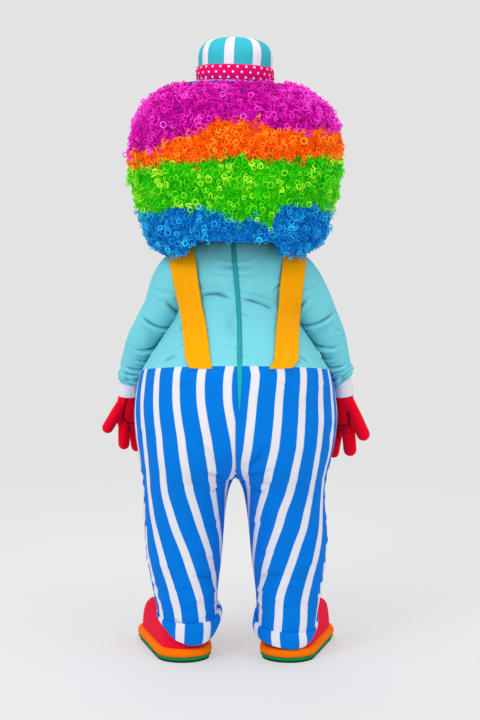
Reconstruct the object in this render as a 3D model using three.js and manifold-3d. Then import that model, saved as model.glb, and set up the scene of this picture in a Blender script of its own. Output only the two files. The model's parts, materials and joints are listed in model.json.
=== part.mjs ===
// A clown costume as it stands when worn: hat, curly wig, head, bodice with sleeves and cuffs, zip and
// straps, wide striped trousers with turn-ups, gloves and round-toed shoes. Millimetres, +Z up. The
// costume looks along -Y and the wearer's left is +X. Heights in the tables are above the floor; the
// whole group is lowered so that the origin lies between the shoulders, where the wearer carries it.
import * as THREE from 'three';
import Module from 'manifold-3d';

const wasm = await Module();
wasm.setup();

// Driving dimensions
const CARRY_HEIGHT = 1330;      // shoulders above the floor
const SEAM = 0.3;               // space between sewn pieces
const FLATNESS = 0.04;          // a cut piece drops the points that lie this near its flats
const WALL = 2;                 // cloth
const THICK_WALL = 2.6;         // doubled cloth: cuffs, turn-ups, hat band
const SHELL_WALL = 8;           // stiffened head
const UPPER_WALL = 3;           // shoe upper
const LEFT = 1;
const RIGHT = -1;

const WAIST_RISE_BACK = 38;     // the waist rises at the back and dips at the front
const WAIST_DIP_FRONT = 12;
// The right sleeve stands further out above the elbow than the left, and is fuller there
const ARM_RIGHT = { out: 13, wide: 6, row: 3, rows: 1.1 };
const LEG_SPREAD_RIGHT = 12;    // and so does the right leg at its hem
const HIP_TRIM_RIGHT = { most: 12, height: 530, along: 100 };  // the right leg is slimmer here
const ZIP_WIDTH = 17;
const ZIP_END_WIDTH = 9;
const ZIP_WALL = 2;
const TRIM_LIFT = 0.6;          // how far the zip and the straps lie off the cloth under them
const ZIP_ROWS_IN_SEAT = 1.85;  // how many rows of the trousers it runs down from the waist
const TURNUP_LIFT = 1.2;
const HAT_TILT = THREE.MathUtils.degToRad(-2);

// Bodice, from waist to neck: half width, half depth and how far the section lies behind the origin
const BODICE = [
  { height: 932, wide: 305, deep: 285, behind: 5 },
  { height: 985, wide: 273, deep: 262, behind: 4 },
  { height: 1050, wide: 233, deep: 228, behind: 2 },
  { height: 1120, wide: 191, deep: 190, behind: 0 },
  { height: 1190, wide: 184, deep: 164, behind: 0 },
  { height: 1252, wide: 190, deep: 148, behind: 2 },
  { height: 1302, wide: 188, deep: 134, behind: 4 },
  { height: 1338, wide: 158, deep: 116, behind: 4 },
  { height: 1358, wide: 112, deep: 96, behind: 4 },
];
// Its largest creases: angle round the body (90 is the middle of the back), reach and depth
const BODICE_FOLDS = [
  { angle: 112, height: 1186, across: 26, along: 13, depth: 5, slope: -0.9 },
  { angle: 68, height: 1180, across: 24, along: 12, depth: 5, slope: 0.9 },
  { angle: 90, height: 1262, across: 30, along: 16, depth: 4, slope: 0 },
  { angle: 270, height: 1176, across: 34, along: 15, depth: 5, slope: 0 },
];

// Arm, from the shoulder inside the bodice to the knuckles
const ARM = [
  { out: 105, behind: 0, height: 1256, wide: 56, thick: 56, turn: 0 },
  { out: 160, behind: 0, height: 1246, wide: 82, thick: 80, turn: 0 },
  { out: 197, behind: -2, height: 1212, wide: 78, thick: 78, turn: 0 },
  { out: 244, behind: -12, height: 1128, wide: 60, thick: 62, turn: 0 },
  { out: 299, behind: -34, height: 1040, wide: 51, thick: 51, turn: 10 },
  { out: 334, behind: -64, height: 962, wide: 42, thick: 42, turn: 20 },
  { out: 352, behind: -84, height: 893, wide: 31, thick: 31, turn: 30 },
  { out: 358, behind: -92, height: 842, wide: 32, thick: 30, turn: 38 },
  { out: 357, behind: -98, height: 805, wide: 46, thick: 29, turn: 44 },
  { out: 351, behind: -106, height: 768, wide: 56, thick: 27, turn: 48 },
  { out: 345, behind: -112, height: 738, wide: 50, thick: 24, turn: 48 },
  { out: 343, behind: -114, height: 726, wide: 34, thick: 14, turn: 48 },
];
const WRIST = 6;                // row of ARM where the sleeve ends
const CUFF_END = 7;             // row of ARM where the cuff ends
// Fingers fan out from the knuckles; offsets run across the hand from the thumb side. The thumb starts
// `above` the middle of the palm and hangs by `length`.
const DIGITS = {
  left: {
    fingers: [
      { root: -38, tip: -50, length: 88, radius: 19 },
      { root: 0, tip: 12, length: 100, radius: 18 },
      { root: 37, tip: 50, length: 96, radius: 17 },
    ],
    thumb: { root: -18, above: 22, tip: -90, length: 78, radius: 19 },
  },
  right: {
    fingers: [
      { root: -38, tip: -64, length: 109, radius: 22 },
      { root: 2, tip: 18, length: 122, radius: 18 },
      { root: 37, tip: 54, length: 104, radius: 17 },
    ],
    thumb: { root: -24, above: 14, tip: -88, length: 104, radius: 22 },
  },
};
const KNUCKLES_ABOVE = 14;      // the fingers start this far above the end of the palm
const FINGERS_LEAN = { inward: 8, forward: 4 };
const THUMB_LEAN = 12;

// Trousers, from waist to hem. The outer seam stands `out` from the middle; `turned` is the angle from
// the outer seam round to the inner one, a quarter turn at the waist and a half turn down the legs.
const TROUSERS = [
  { height: 932, out: 305, inner: 0, turned: 90, back: 285, front: 285, seat: 0, behind: 5 },
  { height: 880, out: 319, inner: 0, turned: 90, back: 293, front: 292, seat: 0, behind: 3 },
  { height: 800, out: 330, inner: 0, turned: 93, back: 294, front: 292, seat: 4, behind: 0 },
  { height: 730, out: 326, inner: 0.2, turned: 102, back: 284, front: 280, seat: -4, behind: 0 },
  { height: 668, out: 316, inner: 0.4, turned: 122, back: 262, front: 256, seat: -16, behind: 0 },
  { height: 612, out: 306, inner: 0.6, turned: 150, back: 236, front: 230, seat: -14, behind: 0 },
  { height: 590, out: 303, inner: 3, turned: 180, back: 224, front: 220, seat: 0, behind: 0 },
  { height: 545, out: 301, inner: 22, turned: 180, back: 204, front: 200, seat: 0, behind: 0 },
  { height: 480, out: 300, inner: 33, turned: 180, back: 184, front: 180, seat: 0, behind: 0 },
  { height: 400, out: 297, inner: 40, turned: 180, back: 164, front: 160, seat: 0, behind: 0 },
  { height: 310, out: 289, inner: 47, turned: 180, back: 145, front: 142, seat: 0, behind: 2 },
  { height: 215, out: 272, inner: 58, turned: 180, back: 128, front: 126, seat: 0, behind: 4 },
  { height: 110, out: 253, inner: 62, turned: 180, back: 118, front: 116, seat: 0, behind: 4 },
];
const HEM_BEND_FROM = 400;      // height where the hem's slope starts
// The hem by even steps round from the outer seam to the inner one: how far it hangs above its level
// (below it, behind the heel) and how high the cloth is turned up there
const HEMS = {
  left: {
    back: [
      { above: 24, turned: 9 }, { above: 9, turned: 18 }, { above: -34, turned: 55 },
      { above: -49, turned: 70 }, { above: -28, turned: 50 }, { above: 22, turned: 26 },
    ],
    front: [
      { above: 24, turned: 9 }, { above: 24, turned: 24 }, { above: 19, turned: 40 },
      { above: 21, turned: 46 }, { above: 29, turned: 40 }, { above: 22, turned: 26 },
    ],
  },
  right: {
    back: [
      { above: 18, turned: 9 }, { above: -38, turned: 26 }, { above: -62, turned: 52 },
      { above: -56, turned: 48 }, { above: -44, turned: 42 }, { above: -24, turned: 34 },
    ],
    front: [
      { above: 18, turned: 9 }, { above: 28, turned: 24 }, { above: 24, turned: 40 },
      { above: 26, turned: 46 }, { above: 18, turned: 42 }, { above: -24, turned: 34 },
    ],
  },
};

// Shoes
const HEEL = { out: 172, behind: 36, radius: 94 };
const TOE = { out: 215, behind: -205, radius: 120 };
const SHOE_EASE = 34;            // how softly the outline passes from the heel's round to the toe's
const SOLE_TOP = 5;
const WELT_TOP = 16;
const BAND_TOP = 42;
const BAND_WIDTH = 18;
const UPPER_INSET = 16;         // the upper stands inside the padded band
const ANKLE = { left: 157, right: 173, behind: -2, wide: 57, deep: 65, height: 128 };
const TOE_BULGE = 44;           // how far the toe cap rises above the line to the ankle
const TOE_ENDS = 0.8;           // share of the way to the ankle where the toe cap ends
const TOE_FROM = 80;            // how far in front of the origin the toe cap begins
const UPPER_ROUND = { heel: 0.68, toe: 0.94 };

// Head and wig: half width, half depth
const HEAD = [
  { height: 1374, wide: 164, deep: 154 },
  { height: 1412, wide: 196, deep: 186 },
  { height: 1480, wide: 218, deep: 210 },
  { height: 1570, wide: 224, deep: 216 },
  { height: 1660, wide: 208, deep: 200 },
  { height: 1730, wide: 166, deep: 158 },
  { height: 1768, wide: 104, deep: 98 },
  { height: 1778, wide: 46, deep: 42 },
];
const WIG = [
  { height: 1302, wide: 214, deep: 204 },
  { height: 1330, wide: 256, deep: 238 },
  { height: 1375, wide: 290, deep: 266 },
  { height: 1440, wide: 306, deep: 280 },
  { height: 1510, wide: 329, deep: 293 },
  { height: 1590, wide: 338, deep: 298 },
  { height: 1670, wide: 336, deep: 296 },
  { height: 1740, wide: 322, deep: 285 },
  { height: 1790, wide: 287, deep: 259 },
  { height: 1824, wide: 246, deep: 224 },
  { height: 1846, wide: 192, deep: 180 },
];
// Behind, the curls are lifted off the nape between two lower lobes: x and height round the gap
const NAPE = [[152, 1290], [143, 1330], [116, 1349], [-110, 1349], [-134, 1330], [-142, 1290]];
const NAPE_FROM = 60;           // how far behind the middle it starts
// Bands of curls by colour, each up to its own height
const WIG_BANDS = [
  { name: 'wig_blue', low: 1302, high: 1458, colour: 0x0a5ed6 },
  { name: 'wig_green', low: 1458, high: 1604, colour: 0x63d80c },
  { name: 'wig_orange', low: 1604, high: 1690, colour: 0xff7412 },
  { name: 'wig_purple', low: 1690, high: 1846, colour: 0xbe12b4 },
];
const FACE = { wide: 172, low: 1352, high: 1716, depth: 40 };
const CHIN = [[-120, 1200], [120, 1200], [140, 1480], [-140, 1480]];
const NECK_SPARE = 2;
const NECK_HEIGHTS = [1200, 1380];
const FAR = 500;                // beyond the costume every way

// Hat, in its own frame: the brim's underside is at height 0
const HAT_SEAT = 1846;
const HAT_SINK = 1;             // how far the brim sinks in the curls
const HAT_SHIFT = 3;            // the hat sits a little to the wearer's left
const BRIM_RADIUS = 163;
const BRIM_EDGE = 3;
const BRIM_TOP = 8;
const PLUG_REACH = 20;
const CROWN_RADIUS = 116;
const CROWN = [
  { height: 6, radius: 116 },
  { height: 60, radius: 118 },
  { height: 96, radius: 119 },
  { height: 120, radius: 113 },
  { height: 138, radius: 97 },
  { height: 149, radius: 67 },
  { height: 153, radius: 29 },
];
const BRIM_SEAT = { spare: 4, deep: 60 };
const BAND_LOW = 12;
const BAND_HIGH = 58;
const BAND_BULGE = 5;

const colours = {
  teal: 0x6fcfd8, zip: 0x1f9fa8, strap: 0xf7a500, blue: 0x0a78e0, white: 0xe9e9ef, red: 0xdc1030,
  skin: 0xf0c9a8, hat: 0x2fb3c4, pink: 0xe6086c, orange: 0xff7e0a, green: 0x17a45c, black: 0x17181a,
};

const group = new THREE.Group();
group.position.z = -CARRY_HEIGHT;

function addPiece(name, geometry, colour, roughness = 0.85) {
  const material = new THREE.MeshStandardMaterial({ color: colour, roughness, metalness: 0 });
  const mesh = new THREE.Mesh(geometry, material);
  mesh.name = name;
  group.add(mesh);
}

// ---------- Tables and surfaces

// A column of a table at any place between its rows, on a smooth curve through them.
function column(rows, name, place) {
  const last = rows.length - 1;
  const at = THREE.MathUtils.clamp(place, 0, last);
  const i = Math.min(Math.floor(at), last - 1);
  const t = at - i;
  const value = (k) => rows[THREE.MathUtils.clamp(k, 0, last)][name];
  const rise = (value(i + 1) - value(i - 1)) / 2;
  const nextRise = (value(i + 2) - value(i)) / 2;
  const step = value(i + 1) - value(i);
  return value(i) + t * (rise + t * (3 * step - 2 * rise - nextRise + t * (rise + nextRise - 2 * step)));
}

// The place in a table whose rows reach a height.
function placeAt(rows, height) {
  let low = 0;
  let high = rows.length - 1;
  const rising = rows[high].height > rows[0].height;
  for (let n = 0; n < 40; n += 1) {
    const mid = (low + high) / 2;
    if ((column(rows, 'height', mid) < height) === rising) low = mid;
    else high = mid;
  }
  return (low + high) / 2;
}

function outwardNormal(surface, u, v, side) {
  const step = 1e-3;
  const along = surface(u + step, v).sub(surface(u - step, v));
  const upward = surface(u, v + step).sub(surface(u, v - step));
  return along.cross(upward).normalize().multiplyScalar(side);
}

// Points of a surface on a grid, each moved out by an offset. `side` is 1 where u runs counter-clockwise
// from above with v upward, and -1 where it is mirrored. `level` names an end row that moves out level.
function gridOf(surface, { u, v, columns, rows, side = 1, level = -1 }, offset) {
  const grid = [];
  for (let j = 0; j <= rows; j += 1) {
    const line = [];
    for (let i = 0; i <= columns; i += 1) {
      const a = u[0] + (u[1] - u[0]) * (i / columns);
      const b = v[0] + (v[1] - v[0]) * (j / rows);
      const normal = outwardNormal(surface, a, b, side);
      if (j === level) normal.setZ(0).normalize();
      line.push(surface(a, b).addScaledVector(normal, offset));
    }
    grid.push(line);
  }
  return grid;
}

function drawIn(points, gap) {
  const last = points.length - 1;
  const start = points[1].clone().sub(points[0]).setLength(gap);
  const end = points[last - 1].clone().sub(points[last]).setLength(gap);
  points[0].add(start);
  points[last].add(end);
}

// Free edges stand half a seam back from the line where two pieces are sewn together.
function trimEdges(grid, closed) {
  const columns = grid[0].length;
  if (!closed) grid.forEach((line) => drawIn(line, SEAM / 2));
  for (let i = 0; i < columns; i += 1) {
    drawIn(grid.map((line) => line[i]), SEAM / 2);
  }
}

function geometryOf(points, faces) {
  const signed = faces.reduce((sum, [a, b, c]) => (
    sum + points[a].dot(points[b].clone().cross(points[c]))), 0);
  const turned = signed > 0 ? faces : faces.map(([a, b, c]) => [a, c, b]);
  const geometry = new THREE.BufferGeometry();
  geometry.setAttribute('position', new THREE.Float32BufferAttribute(points.flatMap((p) => p.toArray()), 3));
  geometry.setIndex(turned.flat());
  return geometry;
}

// A closed solid between two grids of the same size: a wall with edges, or a ring where it is closed.
function wallBetween(inner, outer, closed) {
  const rows = outer.length;
  const columns = closed ? outer[0].length - 1 : outer[0].length;
  const points = [];
  [outer, inner].forEach((grid) => grid.forEach((line) => points.push(...line.slice(0, columns))));
  const at = (layer, j, i) => layer * rows * columns + j * columns + (i % columns);
  const faces = [];
  const quad = (a, b, c, d) => faces.push([a, b, c], [a, c, d]);
  const spans = closed ? columns : columns - 1;
  for (let j = 0; j < rows - 1; j += 1) {
    for (let i = 0; i < spans; i += 1) {
      quad(at(0, j, i), at(0, j, i + 1), at(0, j + 1, i + 1), at(0, j + 1, i));
      quad(at(1, j, i), at(1, j + 1, i), at(1, j + 1, i + 1), at(1, j, i + 1));
    }
  }
  for (let i = 0; i < spans; i += 1) {
    quad(at(0, 0, i), at(1, 0, i), at(1, 0, i + 1), at(0, 0, i + 1));
    quad(at(0, rows - 1, i), at(0, rows - 1, i + 1), at(1, rows - 1, i + 1), at(1, rows - 1, i));
  }
  if (!closed) {
    const last = columns - 1;
    for (let j = 0; j < rows - 1; j += 1) {
      quad(at(0, j, 0), at(0, j + 1, 0), at(1, j + 1, 0), at(1, j, 0));
      quad(at(0, j, last), at(1, j, last), at(1, j + 1, last), at(0, j + 1, last));
    }
  }
  return geometryOf(points, faces);
}

// A cloth wall whose outer face is the surface, or that lies on it where `lift` is given.
function clothWall(surface, patch, { wall = WALL, lift = 0, closed = false } = {}) {
  const outer = gridOf(surface, patch, lift + (lift > 0 ? wall : 0));
  const inner = gridOf(surface, patch, lift > 0 ? lift : -wall);
  trimEdges(outer, closed);
  trimEdges(inner, closed);
  return wallBetween(inner, outer, closed);
}

// The space inside a closed surface, filled, with a flat lid on each end.
function filled(surface, patch, offset) {
  const grid = gridOf(surface, patch, offset);
  const columns = patch.columns;
  const points = [];
  grid.forEach((line) => points.push(...line.slice(0, columns)));
  const faces = [];
  const at = (j, i) => j * columns + (i % columns);
  for (let j = 0; j < patch.rows; j += 1) {
    for (let i = 0; i < columns; i += 1) {
      faces.push([at(j, i), at(j, i + 1), at(j + 1, i + 1)], [at(j, i), at(j + 1, i + 1), at(j + 1, i)]);
    }
  }
  [0, patch.rows].forEach((j) => {
    const middle = new THREE.Vector3();
    for (let i = 0; i < columns; i += 1) middle.addScaledVector(points[at(j, i)], 1 / columns);
    const centre = points.push(middle) - 1;
    for (let i = 0; i < columns; i += 1) {
      faces.push(j === 0 ? [centre, at(j, i + 1), at(j, i)] : [centre, at(j, i), at(j, i + 1)]);
    }
  });
  return geometryOf(points, faces);
}

// ---------- Joining and cutting

function solidOf(geometry) {
  const vertProperties = new Float32Array(geometry.getAttribute('position').array);
  const triVerts = new Uint32Array(geometry.getIndex().array);
  return new wasm.Manifold(new wasm.Mesh({ numProp: 3, vertProperties, triVerts }));
}

function geometryFrom(solid) {
  const mesh = solid.simplify(FLATNESS).getMesh();
  const geometry = new THREE.BufferGeometry();
  geometry.setAttribute('position', new THREE.Float32BufferAttribute(Array.from(mesh.vertProperties), 3));
  geometry.setIndex(Array.from(mesh.triVerts));
  return geometry;
}

// A prism along Y over an outline of [x, height] points, between two places.
function prismAlongY(outline, front, back) {
  const shape = new THREE.Shape(outline.map(([x, z]) => new THREE.Vector2(x, z)));
  const geometry = new THREE.ExtrudeGeometry(shape, { depth: back - front, bevelEnabled: false });
  geometry.rotateX(Math.PI / 2);
  geometry.translate(0, back, 0);
  return merged(geometry);
}

function merged(geometry) {
  const found = new Map();
  const points = [];
  const position = geometry.getAttribute('position');
  const place = (n) => {
    const p = new THREE.Vector3().fromBufferAttribute(position, n);
    const key = p.toArray().map((c) => c.toFixed(4)).join();
    if (!found.has(key)) found.set(key, points.push(p) - 1);
    return found.get(key);
  };
  const index = geometry.getIndex();
  const count = index ? index.count : position.count;
  const faces = [];
  for (let n = 0; n < count; n += 3) {
    const face = [0, 1, 2].map((k) => place(index ? index.getX(n + k) : n + k));
    if (new Set(face).size === 3) faces.push(face);
  }
  return geometryOf(points, faces);
}

// ---------- Bodice, sleeves, cuffs

const turn = 2 * Math.PI;
const power = (value, exponent) => Math.sign(value) * Math.abs(value) ** exponent;
const ringPoint = (angle, wide, deep, squareness = 2.15) => {
  const c = Math.cos(angle);
  const s = Math.sin(angle);
  const reach = (Math.abs(c) ** squareness + Math.abs(s) ** squareness) ** (-1 / squareness);
  return [wide * c * reach, deep * s * reach];
};

function waistLift(angle) {
  const s = Math.sin(angle);
  return s > 0 ? WAIST_RISE_BACK * s : WAIST_DIP_FRONT * s;
}

function foldDepth(angle, height) {
  const degrees = THREE.MathUtils.radToDeg(angle);
  let depth = 0;
  BODICE_FOLDS.forEach((fold) => {
    const across = (((degrees - fold.angle + 540) % 360) - 180) / fold.across;
    const along = (height - fold.height - fold.slope * across * fold.across) / fold.along;
    depth += fold.depth * Math.exp(-across * across - along * along);
  });
  return depth;
}

// u is the turn round the body from the wearer's left side, v the place between waist and neck.
const bodiceTop = BODICE.length - 1;
function bodice(u, v) {
  const place = THREE.MathUtils.clamp(v, 0, 1) * bodiceTop;
  const angle = u * turn;
  const height = column(BODICE, 'height', place);
  const level = Math.max(0, 1 - place / 3) ** 2;
  const fold = foldDepth(angle, height);
  const wide = column(BODICE, 'wide', place) - fold;
  const deep = column(BODICE, 'deep', place) - fold;
  const [x, y] = ringPoint(angle, wide, deep);
  return new THREE.Vector3(x, y + column(BODICE, 'behind', place), height + level * waistLift(angle));
}

function armSurface(side) {
  const fromRow = (place) => (place - ARM_RIGHT.row) / ARM_RIGHT.rows;
  const fuller = (place) => (side === RIGHT ? Math.exp(-(fromRow(place) ** 2)) : 0);
  const centre = (place) => new THREE.Vector3(
    side * (column(ARM, 'out', place) + ARM_RIGHT.out * fuller(place)),
    column(ARM, 'behind', place),
    column(ARM, 'height', place),
  );
  return (u, v) => {
    const place = v * (ARM.length - 1);
    const along = centre(place + 0.05).sub(centre(place - 0.05)).normalize();
    const across = new THREE.Vector3(1, 0, 0).addScaledVector(along, -along.x).normalize();
    const through = new THREE.Vector3().crossVectors(along, across);
    const bearing = side * THREE.MathUtils.degToRad(column(ARM, 'turn', place));
    const wideWay = across.clone().applyAxisAngle(along, -bearing);
    const thickWay = through.clone().applyAxisAngle(along, -bearing);
    const angle = u * turn;
    const wide = column(ARM, 'wide', place) + ARM_RIGHT.wide * fuller(place);
    return centre(place)
      .addScaledVector(wideWay, wide * Math.cos(angle))
      .addScaledVector(thickWay, column(ARM, 'thick', place) * Math.sin(angle));
  };
}

const armPlace = (row) => row / (ARM.length - 1);
const QUARTER = 7;               // columns in a quarter turn of the bodice and in a trouser panel
const BODICE_ROWS = 12;
const SLEEVE_ROWS = 9;
const TROUSER_ROWS = 12;
const bodyPatch = { u: [0, 1], v: [0, 1], columns: 4 * QUARTER, rows: BODICE_ROWS, level: 0 };
const armPatch = (from, to, rows, columns = 10) => (
  { u: [0, 1], v: [armPlace(from), armPlace(to)], columns, rows });
const bodyFilled = (offset) => solidOf(filled(bodice, bodyPatch, offset));
const sleeveFilled = (side, offset) => (
  solidOf(filled(armSurface(side), armPatch(0, WRIST, SLEEVE_ROWS), offset)));

function buildBodice() {
  const panels = [
    { name: 'bodice_back_left', u: [0, 0.25], columns: QUARTER },
    { name: 'bodice_back_right', u: [0.25, 0.5], columns: QUARTER },
    { name: 'bodice_front', u: [0.5, 1], columns: 2 * QUARTER },
  ];
  const armholes = sleeveFilled(LEFT, -WALL).add(sleeveFilled(RIGHT, -WALL));
  panels.forEach(({ name, u, columns }) => {
    const panel = clothWall(bodice, { ...bodyPatch, u, columns });
    addPiece(name, geometryFrom(solidOf(panel).subtract(armholes)), colours.teal);
  });
}

function buildSleeves() {
  const outside = bodyFilled(SEAM);
  [['left', LEFT], ['right', RIGHT]].forEach(([name, side]) => {
    const surface = armSurface(side);
    const sleeve = solidOf(clothWall(surface, armPatch(0, WRIST, SLEEVE_ROWS), { closed: true }));
    addPiece(`sleeve_${name}`, geometryFrom(largest(sleeve.subtract(outside))), colours.teal);
    const cuff = clothWall(surface, armPatch(WRIST, CUFF_END, 2), { wall: THICK_WALL, closed: true });
    addPiece(`cuff_${name}`, cuff, colours.white);
  });
}

function largest(solid) {
  const parts = solid.decompose();
  return parts.reduce((best, part) => (part.volume() > best.volume() ? part : best));
}

// ---------- Gloves

// A digit's rings: shares of its length, less shares of its radius, and shares of its radius
const DIGIT_RINGS = [
  { along: 0, back: 0, wide: 0.86 },
  { along: 0.4, back: 0, wide: 1.02 },
  { along: 1, back: 0.8, wide: 1 },
  { along: 1, back: 0.3, wide: 0.74 },
  { along: 1, back: 0, wide: 0.24 },
];

// A blunt digit that starts inside the palm.
function digit(root, tip, radius) {
  const length = root.distanceTo(tip);
  const shareAt = ({ along, back }) => along - back * (radius / length);
  const points = DIGIT_RINGS.map((row) => root.clone().lerp(tip, shareAt(row)));
  const radii = DIGIT_RINGS.map(({ wide }) => ({ radius: wide * radius }));
  return digitSurface(points, radii);
}

function digitSurface(points, radii) {
  const last = points.length - 1;
  const along = points[last].clone().sub(points[0]).normalize();
  const across = new THREE.Vector3(0, 1, 0).addScaledVector(along, -along.y).normalize();
  const through = new THREE.Vector3().crossVectors(along, across);
  return (u, v) => {
    const place = THREE.MathUtils.clamp(v * last, -0.01, last + 0.01);
    const i = Math.min(Math.max(Math.floor(place), 0), last - 1);
    const t = place - i;
    const radius = radii[i].radius + t * (radii[i + 1].radius - radii[i].radius);
    return points[i].clone().lerp(points[i + 1], t)
      .addScaledVector(across, radius * Math.cos(u * turn))
      .addScaledVector(through, radius * Math.sin(u * turn));
  };
}

function gloveDigits(side) {
  const { fingers, thumb } = DIGITS[side === LEFT ? 'left' : 'right'];
  const hand = ARM[ARM.length - 2];
  const bearing = THREE.MathUtils.degToRad(hand.turn);
  const acrossHand = new THREE.Vector3(-side * Math.cos(bearing), -Math.sin(bearing), 0);
  const knuckles = new THREE.Vector3(side * hand.out, hand.behind, hand.height);
  const heel = ARM[ARM.length - 4];
  const palm = new THREE.Vector3(side * heel.out, heel.behind, heel.height);
  const start = new THREE.Vector3(0, 0, KNUCKLES_ABOVE);
  const digits = fingers.map(({ root, tip, length, radius }) => {
    const from = knuckles.clone().addScaledVector(acrossHand, root).add(start);
    const reach = new THREE.Vector3(-side * FINGERS_LEAN.inward, -FINGERS_LEAN.forward, -length);
    const to = knuckles.clone().addScaledVector(acrossHand, tip).add(start).add(reach);
    return digit(from, to, radius);
  });
  const thumbRoot = palm.clone().addScaledVector(acrossHand, thumb.root);
  thumbRoot.z += thumb.above;
  const thumbTip = palm.clone().addScaledVector(acrossHand, thumb.tip);
  thumbTip.add(new THREE.Vector3(side * THUMB_LEAN, 0, -thumb.length));
  digits.push(digit(thumbRoot, thumbTip, thumb.radius));
  return digits;
}

function buildGloves() {
  [['left', LEFT], ['right', RIGHT]].forEach(([name, side]) => {
    const surface = armSurface(side);
    const start = CUFF_END + 0.02;
    const digits = gloveDigits(side);
    const patch = { u: [0, 1], v: [0, 1], columns: 6, rows: 4 };
    const whole = (from, offset) => digits.reduce(
      (sum, each) => sum.add(solidOf(filled(each, patch, offset))),
      solidOf(filled(surface, armPatch(from, ARM.length - 1, 4), offset)),
    );
    const glove = whole(start, 0).subtract(whole(start - 0.3, -WALL));
    addPiece(`glove_${name}`, geometryFrom(largest(glove)), colours.red);
  });
}

// ---------- Straps and zip

// The edges of each strap from the waist up to the shoulder, by their distance from the middle.
const STRAPS = {
  left: {
    back: [
      { outer: 148, inner: 73, height: 973 }, { outer: 155, inner: 76, height: 986 },
      { outer: 168, inner: 91, height: 1090 }, { outer: 195, inner: 120, height: 1213 },
      { outer: 214, inner: 138, height: 1320 }, { outer: 216, inner: 140, height: 1400 },
    ],
    front: [
      { outer: 150, inner: 76, height: 926 }, { outer: 176, inner: 100, height: 1090 },
      { outer: 197, inner: 122, height: 1213 }, { outer: 214, inner: 138, height: 1320 },
      { outer: 216, inner: 140, height: 1400 },
    ],
  },
  right: {
    back: [
      { outer: 184, inner: 109, height: 971 }, { outer: 195, inner: 118, height: 984 },
      { outer: 203, inner: 128, height: 1090 }, { outer: 216, inner: 144, height: 1213 },
      { outer: 227, inner: 153, height: 1320 }, { outer: 226, inner: 150, height: 1400 },
    ],
    front: [
      { outer: 150, inner: 76, height: 926 }, { outer: 190, inner: 114, height: 1090 },
      { outer: 212, inner: 138, height: 1213 }, { outer: 226, inner: 152, height: 1320 },
      { outer: 226, inner: 150, height: 1400 },
    ],
  },
};
const STRAP_WALL = 2.2;

function buildStraps() {
  const layer = (side, offset) => bodyFilled(offset).add(sleeveFilled(side, offset));
  [['left', LEFT], ['right', RIGHT]].forEach(([name, side]) => {
    const lying = layer(side, TRIM_LIFT + STRAP_WALL).subtract(layer(side, TRIM_LIFT));
    const outline = (edges) => [
      ...edges.map(({ outer, height }) => [side * outer, height]),
      ...edges.map(({ inner, height }) => [side * inner, height]).reverse(),
    ];
    const back = solidOf(prismAlongY(outline(STRAPS[name].back), 0, 400));
    const front = solidOf(prismAlongY(outline(STRAPS[name].front), -400, 0));
    addPiece(`strap_${name}`, geometryFrom(largest(lying.intersect(back.add(front)))), colours.strap);
  });
}

// ---------- Trousers

const trouserEnd = TROUSERS.length - 1;
const HEM_HEIGHT = TROUSERS[trouserEnd].height;

function hemAt(side, face, u, name) {
  const rows = HEMS[side === LEFT ? 'left' : 'right'][face > 0 ? 'back' : 'front'];
  return column(rows, name, THREE.MathUtils.clamp(u, 0, 1) * (rows.length - 1));
}

function trouserLeg(side, face) {
  return (u, v) => {
    const place = THREE.MathUtils.clamp(1 - v, 0, 1) * trouserEnd;
    const read = (name) => column(TROUSERS, name, place);
    const level = read('height');
    const slimmer = Math.exp(-(((level - HIP_TRIM_RIGHT.height) / HIP_TRIM_RIGHT.along) ** 2));
    const out = read('out') - (side === RIGHT ? HIP_TRIM_RIGHT.most * slimmer : 0);
    const turned = THREE.MathUtils.degToRad(THREE.MathUtils.clamp(read('turned'), 90, 180));
    const radius = (out - Math.max(0, read('inner'))) / (1 - ringPoint(turned, 1, 1)[0]);
    const angle = u * turned;
    const deep = read(face > 0 ? 'back' : 'front');
    const [x, y] = ringPoint(angle, radius, deep);
    const bend = THREE.MathUtils.clamp((HEM_BEND_FROM - level) / (HEM_BEND_FROM - HEM_HEIGHT), 0, 1) ** 2;
    const waist = Math.max(0, 1 - place / 3) ** 2 * waistLift(face * angle);
    const spread = side === RIGHT ? LEG_SPREAD_RIGHT * THREE.MathUtils.clamp(1 - level / 600, 0, 1) : 0;
    const height = level + waist + bend * hemAt(side, face, u, 'above') + read('seat') * u * u;
    return new THREE.Vector3(side * (out - radius + x + spread), face * y + read('behind'), height);
  };
}

function buildTrousers() {
  [['left', LEFT], ['right', RIGHT]].forEach(([name, side]) => {
    [['back', 1], ['front', -1]].forEach(([place, face]) => {
      const patch = {
        u: [0, 1], v: [0, 1], columns: QUARTER, rows: TROUSER_ROWS, side: side * face, level: TROUSER_ROWS,
      };
      addPiece(`trousers_${place}_${name}`, clothWall(trouserLeg(side, face), patch), colours.blue);
    });
  });
}

// The turned-up hem goes all round the leg, back and front, on the flats between the panels' last rows.
function buildTurnups() {
  const rowStep = 1 / TROUSER_ROWS;
  [['left', LEFT], ['right', RIGHT]].forEach(([name, side]) => {
    const surface = (u, v) => {
      const turned = ((u % 1) + 1) % 1;
      const face = turned < 0.5 ? 1 : -1;
      const round = turned < 0.5 ? 2 * turned : 2 - 2 * turned;
      const leg = trouserLeg(side, face);
      const low = leg(round, 0);
      const next = leg(round, rowStep);
      return low.clone().lerp(next, (v * hemAt(side, face, round, 'turned')) / (next.z - low.z));
    };
    const patch = { u: [0, 1], v: [0, 1], columns: 2 * QUARTER, rows: 2, side };
    const options = { wall: THICK_WALL, lift: TURNUP_LIFT, closed: true };
    addPiece(`turnup_${name}`, clothWall(surface, patch, options), colours.blue);
  });
}

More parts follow.
